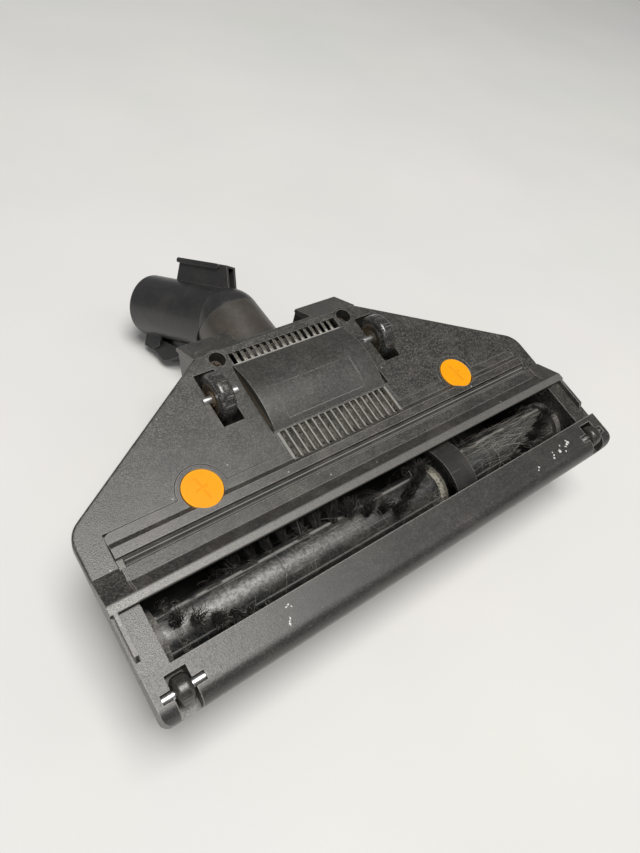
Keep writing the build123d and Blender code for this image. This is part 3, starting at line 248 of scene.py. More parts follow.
spots = put(dust_group, "ShaderNodeTexVoronoi", {"Vector": place, "Scale": 170.0}, feature="F1").outputs
lucky = put(dust_group, "ShaderNodeSeparateColor", {0: spots["Color"]}).outputs
crumbs = calc(dust_group, "MULTIPLY", ramp(dust_group, spots["Distance"], *CRUMB_EDGE),
              calc(dust_group, "GREATER_THAN", lucky[0], CRUMB_LUCK))
dust_group.links.new(crumbs, result["Crumbs"])
print("made", dust_group.name)

# %% [markdown]
# Scuffs come from years of skirting boards and door frames. They are short thin strokes, so we stretch a
# noise along one direction and keep only its highest crests. Two directions crossed look less combed.

# %% Scuffs
STROKES = ((0.35, 26.0), (-0.8, 18.0))
CRESTS = (0.64, 0.72)
scuff_group, given, result = new_group("scuffs", {"Scale": 60.0}, {"Mask": VALUE})
place = put(scuff_group, "ShaderNodeTexCoord").outputs["Object"]
strokes = []
for turn, stretch in STROKES:
    stretched = put(scuff_group, "ShaderNodeMapping",
                    {"Vector": place, "Rotation": (0.2, 0.1, turn), "Scale": (1.0, stretch, stretch)}).outputs[0]
    crests = put(scuff_group, "ShaderNodeTexNoise",
                 {"Vector": stretched, "Scale": given["Scale"], "Detail": 2.0}).outputs[0]
    strokes.append(ramp(scuff_group, crests, *CRESTS))
scuff_group.links.new(calc(scuff_group, "MAXIMUM", *strokes), result["Mask"])
print("made", scuff_group.name)

# %% [markdown]
# Some marks belong to one place on the sole. This group turns the place of a point into the sole's own
# distances: back from the nose, out of the sole, and to either side of mid width. The first two are plain
# projections on the leaning axes.

# %% Places on the sole
sole_group, _, result = new_group("place_on_sole", {}, {"Back": VALUE, "Out": VALUE, "Aside": VALUE})
place = put(sole_group, "ShaderNodeTexCoord").outputs["Object"]
from_nose = vector_calc(sole_group, "SUBTRACT", place, on_sole(0.0, 0.0, 0.0))
leaning_axes = {"Back": (0.0, math.cos(LEAN), math.sin(LEAN)), "Out": (0.0, -math.sin(LEAN), math.cos(LEAN))}
for label, axis in leaning_axes.items():
    sole_group.links.new(vector_calc(sole_group, "DOT_PRODUCT", from_nose, axis), result[label])
aside = calc(sole_group, "ABSOLUTE", put(sole_group, "ShaderNodeSeparateXYZ", {0: place}).outputs[0])
sole_group.links.new(aside, result["Aside"])
print("made", sole_group.name)

# %% [markdown]
# Recycled black plastic is never one colour. A slow noise shifts the shade over centimetres, warm in one
# place and cool in the next.

# %% Uneven colour
WARMTH = 0.12
mottle_group, given, result = new_group(
    "mottling", {"Color": (0.1, 0.1, 0.1, 1.0), "Shade": 0.3, "Scale": 35.0}, {"Color": "NodeSocketColor"})
place = put(mottle_group, "ShaderNodeTexCoord").outputs["Object"]
cloud = put(mottle_group, "ShaderNodeTexNoise", {"Vector": place, "Scale": given["Scale"], "Detail": 3.0})
bright = put(mottle_group, "ShaderNodeMapRange",
             {"Value": cloud.outputs[0], "From Min": 0.3, "From Max": 0.7,
              "To Min": calc(mottle_group, "SUBTRACT", 1.0, given["Shade"]),
              "To Max": calc(mottle_group, "ADD", 1.0, given["Shade"])}).outputs["Result"]
shaded = scaled(mottle_group, given["Color"], bright)
warm = blend(mottle_group, WARMTH, shaded, cloud.outputs["Color"], "SOFT_LIGHT")
mottle_group.links.new(warm, result["Color"])
print("made", mottle_group.name)

# %% [markdown]
# ## Finishes
# One function makes every moulded finish from the shared effects. What differs from piece to piece is the
# colour, how coarse the grain is, how far the edges have worn and how much dust has stayed. The speckle of the
# grain goes into the colour as painted glints, and the pale of the worn edges is also a painted edge highlight.

# %% A moulded finish
DUST = (0.36, 0.33, 0.28, 1.0)
SAND = (0.3, 0.225, 0.14, 1.0)
PALE_WEAR_AND_HIGHLIGHT = (0.62, 0.6, 0.565, 1.0)
CRUMB = (0.55, 0.53, 0.47, 1.0)
PAINTED_GLINT = 3.2
PIT = 0.6
SPECKLE_SHEEN = 0.12
DUST_MATT = 0.3


def moulded(name, color, rough, grain=(1500.0, 0.0001), painted_glint_amount=0.0, soft=0.0005, edge_wear_and_highlight=0.3, dust=0.4,
            scuff=0.1, shade=0.15, wear_and_highlight_tone=PALE_WEAR_AND_HIGHLIGHT, dirt_color=DUST, gloss=0.5, crumbs=0.0):
    """Moulded plastic with grain (size per metre, depth in metres), painted glints, edges worn pale with a
    painted edge highlight, dust and scuffs.
    """
    material, tree, shader = new_material(name)
    edges = use_group(tree, edges_group, {"Radius": soft})
    texture = use_group(tree, grain_group, {"Scale": grain[0]})
    dust_masks = use_group(tree, dust_group, {"Corner": edges["Corner"], "Cover": dust})
    dirt = dust_masks["Mask"]
    marks = calc(tree, "MULTIPLY", use_group(tree, scuff_group)["Mask"], scuff)
    tone = use_group(tree, mottle_group, {"Color": (*color, 1.0), "Shade": shade})["Color"]
    # Painted glints: the speckle lifts the colour in the cells where worn grain would glint in the light
    painted_glints = calc(tree, "MULTIPLY", texture["Speckle"], PAINTED_GLINT * painted_glint_amount)
    painted_glint_scale = calc(tree, "ADD", 1.0 - PIT * painted_glint_amount, painted_glints)
    tone = scaled(tree, tone, painted_glint_scale)
    # Pale open edges: real wear and a painted edge highlight together
    tone = blend(tree, calc(tree, "MULTIPLY", edges["Edge"], edge_wear_and_highlight), tone, wear_and_highlight_tone)
    tone = blend(tree, marks, tone, wear_and_highlight_tone)
    tone = blend(tree, dirt, tone, dirt_color)
    tone = blend(tree, calc(tree, "MULTIPLY", dust_masks["Crumbs"], crumbs), tone, CRUMB)
    flicker = calc(tree, "MULTIPLY", calc(tree, "SUBTRACT", texture["Speckle"], 0.5), SPECKLE_SHEEN)
    matt = calc(tree, "MULTIPLY", dirt, DUST_MATT)
    sheen = calc(tree, "ADD", calc(tree, "ADD", rough, flicker), matt, clamp=True)
    bumps = put(tree, "ShaderNodeBump", {"Height": texture["Height"], "Normal": edges["Normal"],
                                         "Strength": 1.0, "Distance": grain[1]}).outputs[0]
    shader.inputs["Specular IOR Level"].default_value = gloss
    link_look(tree, shader, tone, sheen, bumps)
    return material


print("moulded finish ready")

# %% [markdown]
# The big mouldings share one charcoal family. The base plate has the coarse crust of a spark-eroded mould,
# the brush cover a shallower one, and the bar, panel, neck and tube are smoother still.

# %% Charcoal mouldings
finishes = {
    "housing_plastic": moulded("charcoal_housing", (0.026, 0.026, 0.026), 0.42, (2200.0, 0.00003), 0.06,
                               soft=0.0008, edge_wear_and_highlight=0.2, dust=0.12, scuff=0.06),
    "base_plastic": moulded("crusted_base", (0.025, 0.0235, 0.0205), 0.4, (1900.0, 0.00014), 1.0,
                            soft=0.0006, edge_wear_and_highlight=0.42, dust=0.2, scuff=0.02, shade=0.2, gloss=1.0, crumbs=0.6),
    "bar_plastic": moulded("satin_bar", (0.03, 0.0285, 0.027), 0.42, (1900.0, 0.00007), 0.3,
                           soft=0.0008, edge_wear_and_highlight=0.85, dust=0.1, scuff=0.03, gloss=0.8),
    "cover_plastic": moulded("grained_cover", (0.03, 0.0278, 0.0246), 0.39, (1900.0, 0.0001), 0.6,
                             soft=0.0006, edge_wear_and_highlight=0.75, dust=0.25, scuff=0.03, shade=0.2, gloss=1.0, crumbs=0.7),
    "panel_plastic": moulded("satin_panel", (0.036, 0.0345, 0.032), 0.385, (1900.0, 0.00008), 0.35,
                             soft=0.0006, edge_wear_and_highlight=0.5, dust=0.15, scuff=0.03, gloss=1.0, crumbs=0.3),
    "guard_plastic": moulded("smooth_guard", (0.021, 0.0198, 0.019), 0.48, (2200.0, 0.00004), 0.12,
                             edge_wear_and_highlight=0.5, dust=0.15, scuff=0.06),
    "neck_plastic": moulded("brown_neck", (0.052, 0.044, 0.037), 0.42, (2600.0, 0.00002), 0.06,
                            edge_wear_and_highlight=0.35, dust=0.2, scuff=0.04, gloss=0.8),
    "tube_plastic": moulded("charcoal_tube", (0.022, 0.022, 0.023), 0.38, (2600.0, 0.00002), 0.05,
                            edge_wear_and_highlight=0.3, dust=0.1, scuff=0.04, gloss=0.7),
}
print("made", len(finishes), "charcoal finishes")

# %% [markdown]
# Some places wear and collect more than others, and some are painted as if they caught more light. The rim
# of the brush cover is the lowest flat of the sole and slides on the carpet; it is painted paler for rubbing
# and for a painted highlight on the flat rim that faces the light. The tops of the grille's ribs and the lips
# of the vent's louvres get the same: rubbing and a painted highlight. Air has left grey dust between them, and
# on the grille's rib walls that pale dust also stands in for light on walls that lie in shade. Sand lies at
# the foot of the panel's sides. A patch is a box in the sole's own distances, broken up by a fine noise so
# that it doesn't end in a ruled line, and it is laid over the finish that is already there.

# %% Rubbed, dusty and painted-lit places
RUBBED_AND_LIT = (0.14, 0.135, 0.126, 1.0)
RUBBED_AND_LIT_RIB_TOP = (0.34, 0.33, 0.305, 1.0)
COVER_RIM = (40.0, 49.2)
RIM_CREST = (6.4, 9.0)
COVER_HALF = 150.0
GRILLE = (71.8, 88.2)
GRILLE_HALF = 35.0
RIB_CREST = (-0.5, 1.0)
RIB_WALL = (-4.0, -0.5)
VENT = (131.2, 138.0)
VENT_HALF = 33.5
VENT_WALL = (-4.0, -0.8)
LOUVRE_LIP = (130.5, 132.8)
LIP_CREST = (-2.0, 1.0)
PANEL_SIDES = (93.0, 126.0)
PANEL_FOOT = (-4.0, 0.6)
PANEL_HALF = 60.0
PATCH_GRAIN = 1700.0
PATCH_BREAKS = (0.25, 0.55)


def lay_patch(material, color, cover, back, out, aside, soft=0.3):
    """Lay a colour over a box of the sole's frame: ranges back and out, and how far to either side."""
    tree, shader, tone = present_look(material)
    spot = use_group(tree, sole_group)
    fine = use_group(tree, grain_group, {"Scale": PATCH_GRAIN})["Height"]
    mask = calc(tree, "MULTIPLY", ramp(tree, fine, *PATCH_BREAKS), cover)
    for label, low, high in (("Back", *back), ("Out", *out), ("Aside", -aside, aside)):
        climbs = ramp(tree, spot[label], (low - soft) * MM, (low + soft) * MM)
        falls = ramp(tree, spot[label], (high + soft) * MM, (high - soft) * MM)
        mask = calc(tree, "MULTIPLY", mask, calc(tree, "MULTIPLY", climbs, falls))
    tree.links.new(blend(tree, mask, tone, color), shader.inputs["Base Color"])


# Rim: rubbing plus a painted highlight on the flat rim that faces the light
lay_patch(finishes["cover_plastic"], RUBBED_AND_LIT, 1.0, COVER_RIM, RIM_CREST, COVER_HALF)
# Rib walls: grey dust plus painted light on walls that lie in shade
lay_patch(finishes["cover_plastic"], DUST, 0.85, GRILLE, RIB_WALL, GRILLE_HALF)
# Rib tops: rubbing plus a painted highlight on the lit crests
lay_patch(finishes["cover_plastic"], RUBBED_AND_LIT_RIB_TOP, 0.8, GRILLE, RIB_CREST, GRILLE_HALF)
lay_patch(finishes["base_plastic"], DUST, 0.4, VENT, VENT_WALL, VENT_HALF)
# Louvre lips: rubbing plus a painted highlight where the lips catch the light
lay_patch(finishes["base_plastic"], PALE_WEAR_AND_HIGHLIGHT, 0.9, LOUVRE_LIP, LIP_CREST, VENT_HALF, soft=1.6)
lay_patch(finishes["panel_plastic"], SAND, 0.6, PANEL_SIDES, PANEL_FOOT, PANEL_HALF)
print("laid six patches")

# %% [markdown]
# The nose of the head meets every chair leg. A few knocks went through to pale plastic, one group near each
# end of the bar. We list the places one by one and bend the distance to each with noise, so the chips come
# out ragged. This is laid over the finish that the bar already has.

# %% Chips on the bar
BAR_TOP = 7.5
CHIP_PLACES = (
    (-76.9, 15.4, 0.5), (-76.2, 14.1, 0.5), (-78.2, 14.8, 0.4), (-79.1, 10.3, 0.5), (-79.8, 9.3, 0.6),
    (-80.4, 8.3, 0.6), (-73.3, 3.3, 0.8), (-73.0, 2.2, 0.7), (-63.3, 3.0, 0.6), (79.2, 9.0, 0.6),
    (78.0, 7.8, 0.6), (92.1, 8.9, 0.8), (93.4, 10.3, 0.6), (93.7, 12.0, 0.5), (98.7, 10.5, 1.1),
    (101.2, 13.1, 0.5), (102.4, 8.9, 0.6), (104.4, 11.0, 0.6), (106.1, 11.7, 0.9), (107.7, 12.5, 1.0),
    (107.0, 13.7, 0.5))
CHIP_GRAIN = 1100.0
CHIP_HEART = 0.7
RAGGED = 2.0
CHIP_COLOR = (0.72, 0.71, 0.69, 1.0)


def chip(material, places, color):
    """Lay ragged chips over a finish. Each place is across, back from the nose and size, in millimetres."""
    tree, shader, tone = present_look(material)
    place = put(tree, "ShaderNodeTexCoord").outputs["Object"]
    noise = put(tree, "ShaderNodeTexNoise", {"Vector": place, "Scale": CHIP_GRAIN, "Detail": 3.0})
    place = vector_calc(tree, "ADD", place, scaled(tree, noise.outputs["Color"], RAGGED * MM))
    mask = 0.0
    for x, y, size in places:
        # The noise averages a half, so the bent places lie half its reach further on
        away = vector_calc(tree, "DISTANCE", place, on_sole(x, y, BAR_TOP) + RAGGED / 2 * MM)
        mask = calc(tree, "MAXIMUM", ramp(tree, away, size * MM, CHIP_HEART * size * MM), mask)
    tree.links.new(blend(tree, mask, tone, color), shader.inputs["Base Color"])


chip(finishes["bar_plastic"], CHIP_PLACES, CHIP_COLOR)
print("chipped the bar in", len(CHIP_PLACES), "places")

# %% [markdown]
# The brush bar turns in the dirt, so its core, pulley and bearings are coated. Their plastic is the same
# charcoal under a heavy film of grey dust. The turbine runs in cleaner air and keeps its pale plastic.

# %% Dusty plastics of the brush drive
finishes.update({
    "core_plastic": moulded("dusty_core", (0.029, 0.0305, 0.03), 0.4, (1500.0, 0.0001), 0.4,
                            edge_wear_and_highlight=0.5, dust=0.3, scuff=0.25, shade=0.25, gloss=0.8),
    "pulley_plastic": moulded("dusty_pulley", (0.09, 0.084, 0.075), 0.55, (1400.0, 0.0001), 0.3,
                              edge_wear_and_highlight=0.4, dust=0.9, scuff=0.2),
    "bearing_plastic": moulded("clouded_bearing", (0.085, 0.084, 0.08), 0.45, (1200.0, 0.0001), 0.35,
                               edge_wear_and_highlight=0.5, dust=0.6, scuff=0.1),
    "turbine_plastic": moulded("pale_turbine", (0.42, 0.42, 0.41), 0.4, (2400.0, 0.00002), 0.06,
                               edge_wear_and_highlight=0.2, dust=0.4, scuff=0.05),
    "belt_rubber": moulded("belt_rubber", (0.02, 0.02, 0.02), 0.7, (3000.0, 0.00003), 0.2,
                           edge_wear_and_highlight=0.3, dust=0.5, scuff=0.2),
})
print("made", len(finishes), "finishes so far")

# %% [markdown]
# Dust has drifted on the core. It lies along the side of the core that rested uppermost and is painted
# thicker towards the left end, where the pale is dust and also painted light, as that end takes more light.
# One lengthwise ridge is pale in stretches, from rubbing and from a painted highlight streak along the core,
# and dust has caked to a cream ring on the collar beside the belt. To lay these over the core's finish we need
# the angle round the brush axis, which an arctangent gives, and the place across the head.

# %% Drift with painted light, ridge with painted streak, and ring on the core
DRIFT_FROM = 10.0
DRIFT_TO = -95.0
DRIFT_ANGLE = 92.0
DRIFT_HALF = 34.0
RIDGE_ANGLE = 52.0
RIDGE_HALF = 3.6
COLLAR_X = 31.0
COLLAR_HALF = 1.6
DUST_AND_LIGHT_LOW = 0.02
DUST_AND_LIGHT_HIGH = 0.85
DUST_AND_LIGHT_TONE = (0.46, 0.455, 0.44, 1.0)
GRIT = 650.0
CREAM = (0.62, 0.59, 0.5, 1.0)


def dust_and_light_on_core(material):
    """Lay drifted dust with painted light, the pale ridge with its painted highlight streak and the cream ring
    of the collar over the core's finish.
    """
    tree, shader, tone = present_look(material)
    place = put(tree, "ShaderNodeTexCoord").outputs["Object"]
    across = put(tree, "ShaderNodeSeparateXYZ", {0: place}).outputs[0]
    off_axis = vector_calc(tree, "SUBTRACT", place, on_sole(0.0, BRUSH_Y, BRUSH_Z))
    spot = put(tree, "ShaderNodeSeparateXYZ", {0: off_axis}).outputs
    angle = calc(tree, "SUBTRACT", calc(tree, "ARCTAN2", spot[2], spot[1]), LEAN)
    grit = put(tree, "ShaderNodeTexNoise",
               {"Vector": place, "Scale": GRIT, "Detail": 5.0, "Roughness": 0.75}).outputs[0]
    off_drift = calc(tree, "ABSOLUTE", calc(tree, "SUBTRACT", angle, math.radians(DRIFT_ANGLE)))
    # Painted light: the pale climbs towards the left end, as dust and as the light that falls more on that end
    dust_and_light_gradient = put(tree, "ShaderNodeMapRange",
                {"Value": across, "From Min": DRIFT_FROM * MM, "From Max": DRIFT_TO * MM,
                 "To Min": DUST_AND_LIGHT_LOW, "To Max": DUST_AND_LIGHT_HIGH}).outputs["Result"]
    dust_and_light = calc(tree, "MULTIPLY", ramp(tree, off_drift, math.radians(DRIFT_HALF), 0.0),
                 ramp(tree, grit, 0.3, 0.7))
    tone = blend(tree, calc(tree, "MULTIPLY", dust_and_light, dust_and_light_gradient), tone, DUST_AND_LIGHT_TONE)
    # Pale ridge: rubbing plus a painted highlight streak along the core
    off_ridge = calc(tree, "ABSOLUTE", calc(tree, "SUBTRACT", angle, math.radians(RIDGE_ANGLE)))
    stretches = put(tree, "ShaderNodeTexNoise", {"W": across, "Scale": 55.0, "Detail": 1.0},
                    noise_dimensions="1D").outputs[0]
    crest = ramp(tree, off_ridge, math.radians(RIDGE_HALF), math.radians(0.7 * RIDGE_HALF))
    ridge_and_streak = calc(tree, "MULTIPLY", crest, ramp(tree, stretches, 0.47, 0.5))
    tone = blend(tree, calc(tree, "MULTIPLY", ridge_and_streak, 0.6), tone, DUST_AND_LIGHT_TONE)
    off_collar = calc(tree, "ABSOLUTE", calc(tree, "SUBTRACT", across, COLLAR_X * MM))
    ring = ramp(tree, off_collar, (COLLAR_HALF + 0.3) * MM, (COLLAR_HALF - 0.2) * MM)
    tone = blend(tree, calc(tree, "MULTIPLY", ring, ramp(tree, grit, 0.36, 0.5)), tone, CREAM)
    tree.links.new(tone, shader.inputs["Base Color"])


dust_and_light_on_core(finishes["core_plastic"])
print("dusted the core")

# %% [markdown]
# Wheels and rollers are polished by the floor: glossy black with pale scuffs where grit has run under
# them. Their hubs are out of reach of the floor and stay dusty.

# %% Wheels and rollers
finishes.update({
    "wheel_plastic": moulded("sandy_hub", (0.075, 0.06, 0.044), 0.5, (1500.0, 0.0001), 0.3,
                             edge_wear_and_highlight=0.4, dust=0.9, scuff=0.1, dirt_color=SAND),
    "wheel_rubber": moulded("polished_tyre", (0.03, 0.03, 0.03), 0.25, (1500.0, 0.00006), 0.4,
                            edge_wear_and_highlight=0.3, dust=0.16, scuff=0.45, dirt_color=SAND, gloss=1.0, crumbs=0.9),
    "roller_plastic": moulded("polished_roller", (0.026, 0.024, 0.021), 0.34, (1700.0, 0.00005), 0.25,
                              edge_wear_and_highlight=0.2, dust=0.2, scuff=0.1, dirt_color=SAND, gloss=0.9),
})
print("made wheel and roller finishes")

# %% [markdown]
# The two locks are moulded through in flat orange, bright so that they are easy to find. Their rim catches
# the light: we measure the distance from the lock's own centre and lift the colour in a narrow ring. The
# left lock is folded onto the right one, so one distance serves both.

# %% Orange locks
LOCK_X = 80.9
LOCK_Y = 78.1
LOCK_FACE = 0.4
RIM_INNER = 8.2
RIM_OUTER = 9.0
RIM_LIFT = 0.5
RIM_ORANGE = (1.0, 0.42, 0.02, 1.0)
WORN_ORANGE = (1.0, 0.45, 0.03, 1.0)


def orange_lock():
    """Flat orange plastic with a brighter ring near the rim."""
    material = moulded("orange_lock", (0.97, 0.375, 0.005), 0.45, (2400.0, 0.00001), 0.03,
                       soft=0.0003, edge_wear_and_highlight=0.3, dust=0.04, scuff=0.03, shade=0.06, wear_and_highlight_tone=WORN_ORANGE, gloss=0.15)
    tree, shader, tone = present_look(material)
    place = put(tree, "ShaderNodeTexCoord").outputs["Object"]
    spot = put(tree, "ShaderNodeSeparateXYZ", {0: place}).outputs
    aside = calc(tree, "ABSOLUTE", spot[0])
    folded = put(tree, "ShaderNodeCombineXYZ", {0: aside, 1: spot[1], 2: spot[2]}).outputs[0]
    away = vector_calc(tree, "DISTANCE", folded, on_sole(LOCK_X, LOCK_Y, LOCK_FACE))
    ring = calc(tree, "MULTIPLY", ramp(tree, away, RIM_INNER * MM, RIM_OUTER * MM), RIM_LIFT)
    tree.links.new(blend(tree, ring, tone, RIM_ORANGE), shader.inputs["Base Color"])
    return material


finishes["lock_plastic"] = orange_lock()
print("made", finishes["lock_plastic"].name)

# %% [markdown]
# Steel pins and screws are the only bare metal. Drawn wire has fine lines along it, so the roughness
# follows a stretched noise, with brown specks where damp has reached it. The pins are rubbed bright. The
# screws sit in deep wells, dull with damp and dust.

# %% Steel
DAMP = (0.16, 0.09, 0.05, 1.0)
BARE = (0.9, 0.9, 0.89, 1.0)


def drawn_steel(name, color, rough, damp_cover):
    """Bare drawn steel with fine lines and brown specks."""
    material, tree, shader = new_material(name)
    edges = use_group(tree, edges_group, {"Radius": 0.0003})
    texture = use_group(tree, grain_group, {"Scale": 1800.0})
    lines = use_group(tree, scuff_group, {"Scale": 200.0})["Mask"]
    tone = use_group(tree, mottle_group, {"Color": (*color, 1.0), "Shade": 0.1})["Color"]
    damp = calc(tree, "MULTIPLY", ramp(tree, texture["Height"], 0.6, 0.72), damp_cover)
    tone = blend(tree, damp, tone, DAMP)
    tone = blend(tree, calc(tree, "MULTIPLY", edges["Edge"], 0.3), tone, BARE)
    sheen = calc(tree, "ADD", rough, calc(tree, "MULTIPLY", calc(tree, "ADD", lines, damp), 0.25))
    bumps = put(tree, "ShaderNodeBump", {"Height": texture["Height"], "Normal": edges["Normal"],
                                         "Strength": 0.4, "Distance": 0.00002}).outputs[0]
    shader.inputs["Metallic"].default_value = 1.0
    link_look(tree, shader, tone, sheen, bumps)
    return material


finishes["steel"] = drawn_steel("bright_steel", (0.9, 0.9, 0.9), 0.36, 0.2)
finishes["screw_steel"] = drawn_steel("dull_steel", (0.1, 0.088, 0.072), 0.55, 0.9)
print("made two steels")

# %% [markdown]
# The lint strip is a dark napped ribbon. Its short pile all leans one way and reads as slanting ribs, so
# a band texture turned across the strip drives both colour and bump. Two fine pale lines of piping run
# along it, one on each side of the bead; their pale is also a painted highlight on the bead's crest edges.

# %% Lint strip
PIPING_MIDDLE = 62.75
PIPING_OFF = 0.75
PIPING_HALF = 0.22
PIPING_AND_HIGHLIGHT = (0.3, 0.295, 0.28, 1.0)
NAP = (0.018, 0.018, 0.018, 1.0)
NAP_RIB = (0.06, 0.059, 0.056, 1.0)
NAP_SLANT = 40.0


def napped_ribbon():
    """Dark napped ribbon with slanting ribs and two lines of piping, pale with a painted highlight."""
    material, tree, shader = new_material("napped_ribbon")
    place = put(tree, "ShaderNodeTexCoord").outputs["Object"]
    slant = (0.0, 0.0, math.radians(NAP_SLANT))
    slanted = put(tree, "ShaderNodeMapping", {"Vector": place, "Rotation": slant}).outputs[0]
    ribs = put(tree, "ShaderNodeTexWave",
               {"Vector": slanted, "Scale": 260.0, "Distortion": 2.5, "Detail": 2.0, "Detail Scale": 3.0},
               wave_type="BANDS").outputs["Fac"]
    texture = use_group(tree, grain_group, {"Scale": 2600.0})
    edges = use_group(tree, edges_group, {"Radius": 0.0004})
    dirt = use_group(tree, dust_group, {"Corner": edges["Corner"], "Cover": 0.25})["Mask"]
    tone = use_group(tree, mottle_group, {"Color": NAP, "Shade": 0.25})["Color"]
    tone = blend(tree, calc(tree, "MULTIPLY", ribs, 0.6), tone, NAP_RIB)
    tone = blend(tree, dirt, tone, DUST)
    back = use_group(tree, sole_group)["Back"]
    # Piping lines: pale piping plus a painted highlight on the edges of the bead's crest
    beside = calc(tree, "ABSOLUTE", calc(tree, "SUBTRACT", back, PIPING_MIDDLE * MM))
    off_line = calc(tree, "ABSOLUTE", calc(tree, "SUBTRACT", beside, PIPING_OFF * MM))
    tone = blend(tree, ramp(tree, off_line, 1.4 * PIPING_HALF * MM, 0.6 * PIPING_HALF * MM), tone, PIPING_AND_HIGHLIGHT)
    pile = calc(tree, "ADD", ribs, calc(tree, "MULTIPLY", texture["Height"], 0.6))
    bumps = put(tree, "ShaderNodeBump", {"Height": pile, "Normal": edges["Normal"],
                                         "Strength": 1.0, "Distance": 0.0001}).outputs[0]
    sheen = calc(tree, "ADD", 0.8, calc(tree, "MULTIPLY", texture["Speckle"], 0.15))
    link_look(tree, shader, tone, sheen, bumps)
    return material


finishes["strip_fabric"] = napped_ribbon()
print("made", finishes["strip_fabric"].name)

# %% [markdown]
# Bristles and hair share one finish. Every fibre carries a shade of its own, stored on its points, which
# runs from black nylon to pale hair. Patches of dust grey them.

# %% Fibres
NYLON = (0.012, 0.012, 0.013, 1.0)
PALE_HAIR = (0.55, 0.52, 0.47, 1.0)


def fibre_finish():
    """Fibre whose colour follows the shade stored on its points."""
    material, tree, shader = new_material("fibre")
    shade = put(tree, "ShaderNodeAttribute", attribute_name="shade").outputs["Fac"]
    texture = use_group(tree, grain_group, {"Scale": 900.0})
    tone = blend(tree, shade, NYLON, PALE_HAIR)
    tone = use_group(tree, mottle_group, {"Color": tone, "Shade": 0.25, "Scale": 200.0})["Color"]
    dirt = use_group(tree, dust_group, {"Cover": 0.35, "Scale": 160.0})["Mask"]
    tone = blend(tree, dirt, tone, DUST)
    bumps = put(tree, "ShaderNodeBump",
                {"Height": texture["Height"], "Strength": 0.3, "Distance": 0.00002}).outputs[0]
    sheen = calc(tree, "ADD", 0.42, calc(tree, "MULTIPLY", texture["Speckle"], 0.25))
    link_look(tree, shader, tone, sheen, bumps)
    return material


finishes["bristle"] = fibre_finish()
print("made", finishes["bristle"].name)

# %% [markdown]
# Now every solid takes the finish of its slot.

# %% Dress the solids
for name, node in nodes.items():
    node.data.materials.clear()
    node.data.materials.append(finishes[slot_of_node[name]])
print("dressed", len(nodes), "nodes")

# %% [markdown]
# ## Bristles
#
# Bristles, hair and lint are all thin fibres. A curve object with a bevel could draw them, but one mesh for
# a whole bundle exports as it is seen. A fibre is a three-sided tube, so thousands stay light.

# %% Build fibres
rng = np.random.default_rng(7)
SIDE_TURNS = (0.0, 2.0944, 4.1888)  # thirds of a full turn


def fibre_mesh(name, fibres, body):
    """One mesh of three-sided fibres on a body. Each fibre is (points, root radius, tip radius, shade)."""
    corners = []
    faces = []
    shades = []
    for points, root, tip, shade in fibres:
        steps = len(points)
        runs = np.gradient(points, axis=0)
        runs /= np.linalg.norm(runs, axis=1)[:, None]
        helper = np.array((1.0, 0.0, 0.0)) if abs(runs[0][0]) < 0.8 else np.array((0.0, 0.0, 1.0))
        across = np.cross(runs, helper)
        across /= np.linalg.norm(across, axis=1)[:, None]
        beside = np.cross(runs, across)
        widths = np.linspace(root, tip, steps)[:, None]
        start = len(corners)
        for turn in SIDE_TURNS:
            corners.extend(points + widths * (across * math.cos(turn) + beside * math.sin(turn)))
        for side in range(3):
            here = start + side * steps
            there = start + (side + 1) % 3 * steps
            faces.extend((here + i, there + i, there + i + 1, here + i + 1) for i in range(steps - 1))
        shades.extend(list(np.broadcast_to(shade, steps)) * 3)
    mesh = bpy.data.meshes.new(name)
    mesh.from_pydata(np.array(corners).tolist(), [], faces)
    stored = mesh.attributes.new("shade", "FLOAT", "POINT")
    stored.data.foreach_set("value", np.array(shades, dtype=np.float32))
    mesh.polygons.foreach_set("use_smooth", np.ones(len(mesh.polygons), dtype=bool))
    mesh.materials.append(finishes["bristle"])
    piece = bpy.data.objects.new(name, mesh)
    bpy.context.scene.collection.objects.link(piece)
    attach(piece, body)
    print("made", name, "with", len(fibres), "fibres")
    return piece


print("fibre builder ready")

# %% [markdown]
# The tufts stand in two rows that wind round the core and meet in a chevron near the middle. The solids
# hold their place with plain cones. Here each cone becomes a bundle of thin fibres that starts at its root
# and splays towards its tip, bent a little by use.

# %% Bristle bundles
CORE_RADIUS = 11.0
TUFT_TIP = 23.0
TUFT_PITCH = 7.8
TUFT_APEX = 0.0
TUFT_APEX_ANGLE = 105.0
TUFT_TWIST = 1.7
TUFT_END = 119.0
GUARD_LEFT = 30.7
GUARD_RIGHT = 44.5
GUARD_ROOM = 3.0
ROOT_OFF = 0.2
ROOT_SPREAD = 2.1
TIP_SPREAD = 3.2
BRISTLES_PER_TUFT = 96
BRISTLE_WIDTH = 0.16
BRISTLE_BEND = 1.5
BRISTLE_CURL = 0.7
BRISTLE_POINTS = 7
CURL_TURN = 9.0
TIP_WEAR = 1.8
DUSTY_SHARE = 0.04
DUSTY_SHADE = 0.5


def tuft_places():
    """Position across the head and angle round the brush of every tuft."""
    reach = int(TUFT_END / TUFT_PITCH) + 1
    for column in range(-reach, reach + 1):
        x = TUFT_APEX + TUFT_PITCH * column
        beside_guard = GUARD_LEFT - GUARD_ROOM < x < GUARD_RIGHT + GUARD_ROOM
        if abs(x) < TUFT_END and not beside_guard:
            for row in (0.0, 180.0):
                yield x, math.radians(TUFT_APEX_ANGLE + row - TUFT_TWIST * abs(x - TUFT_APEX))


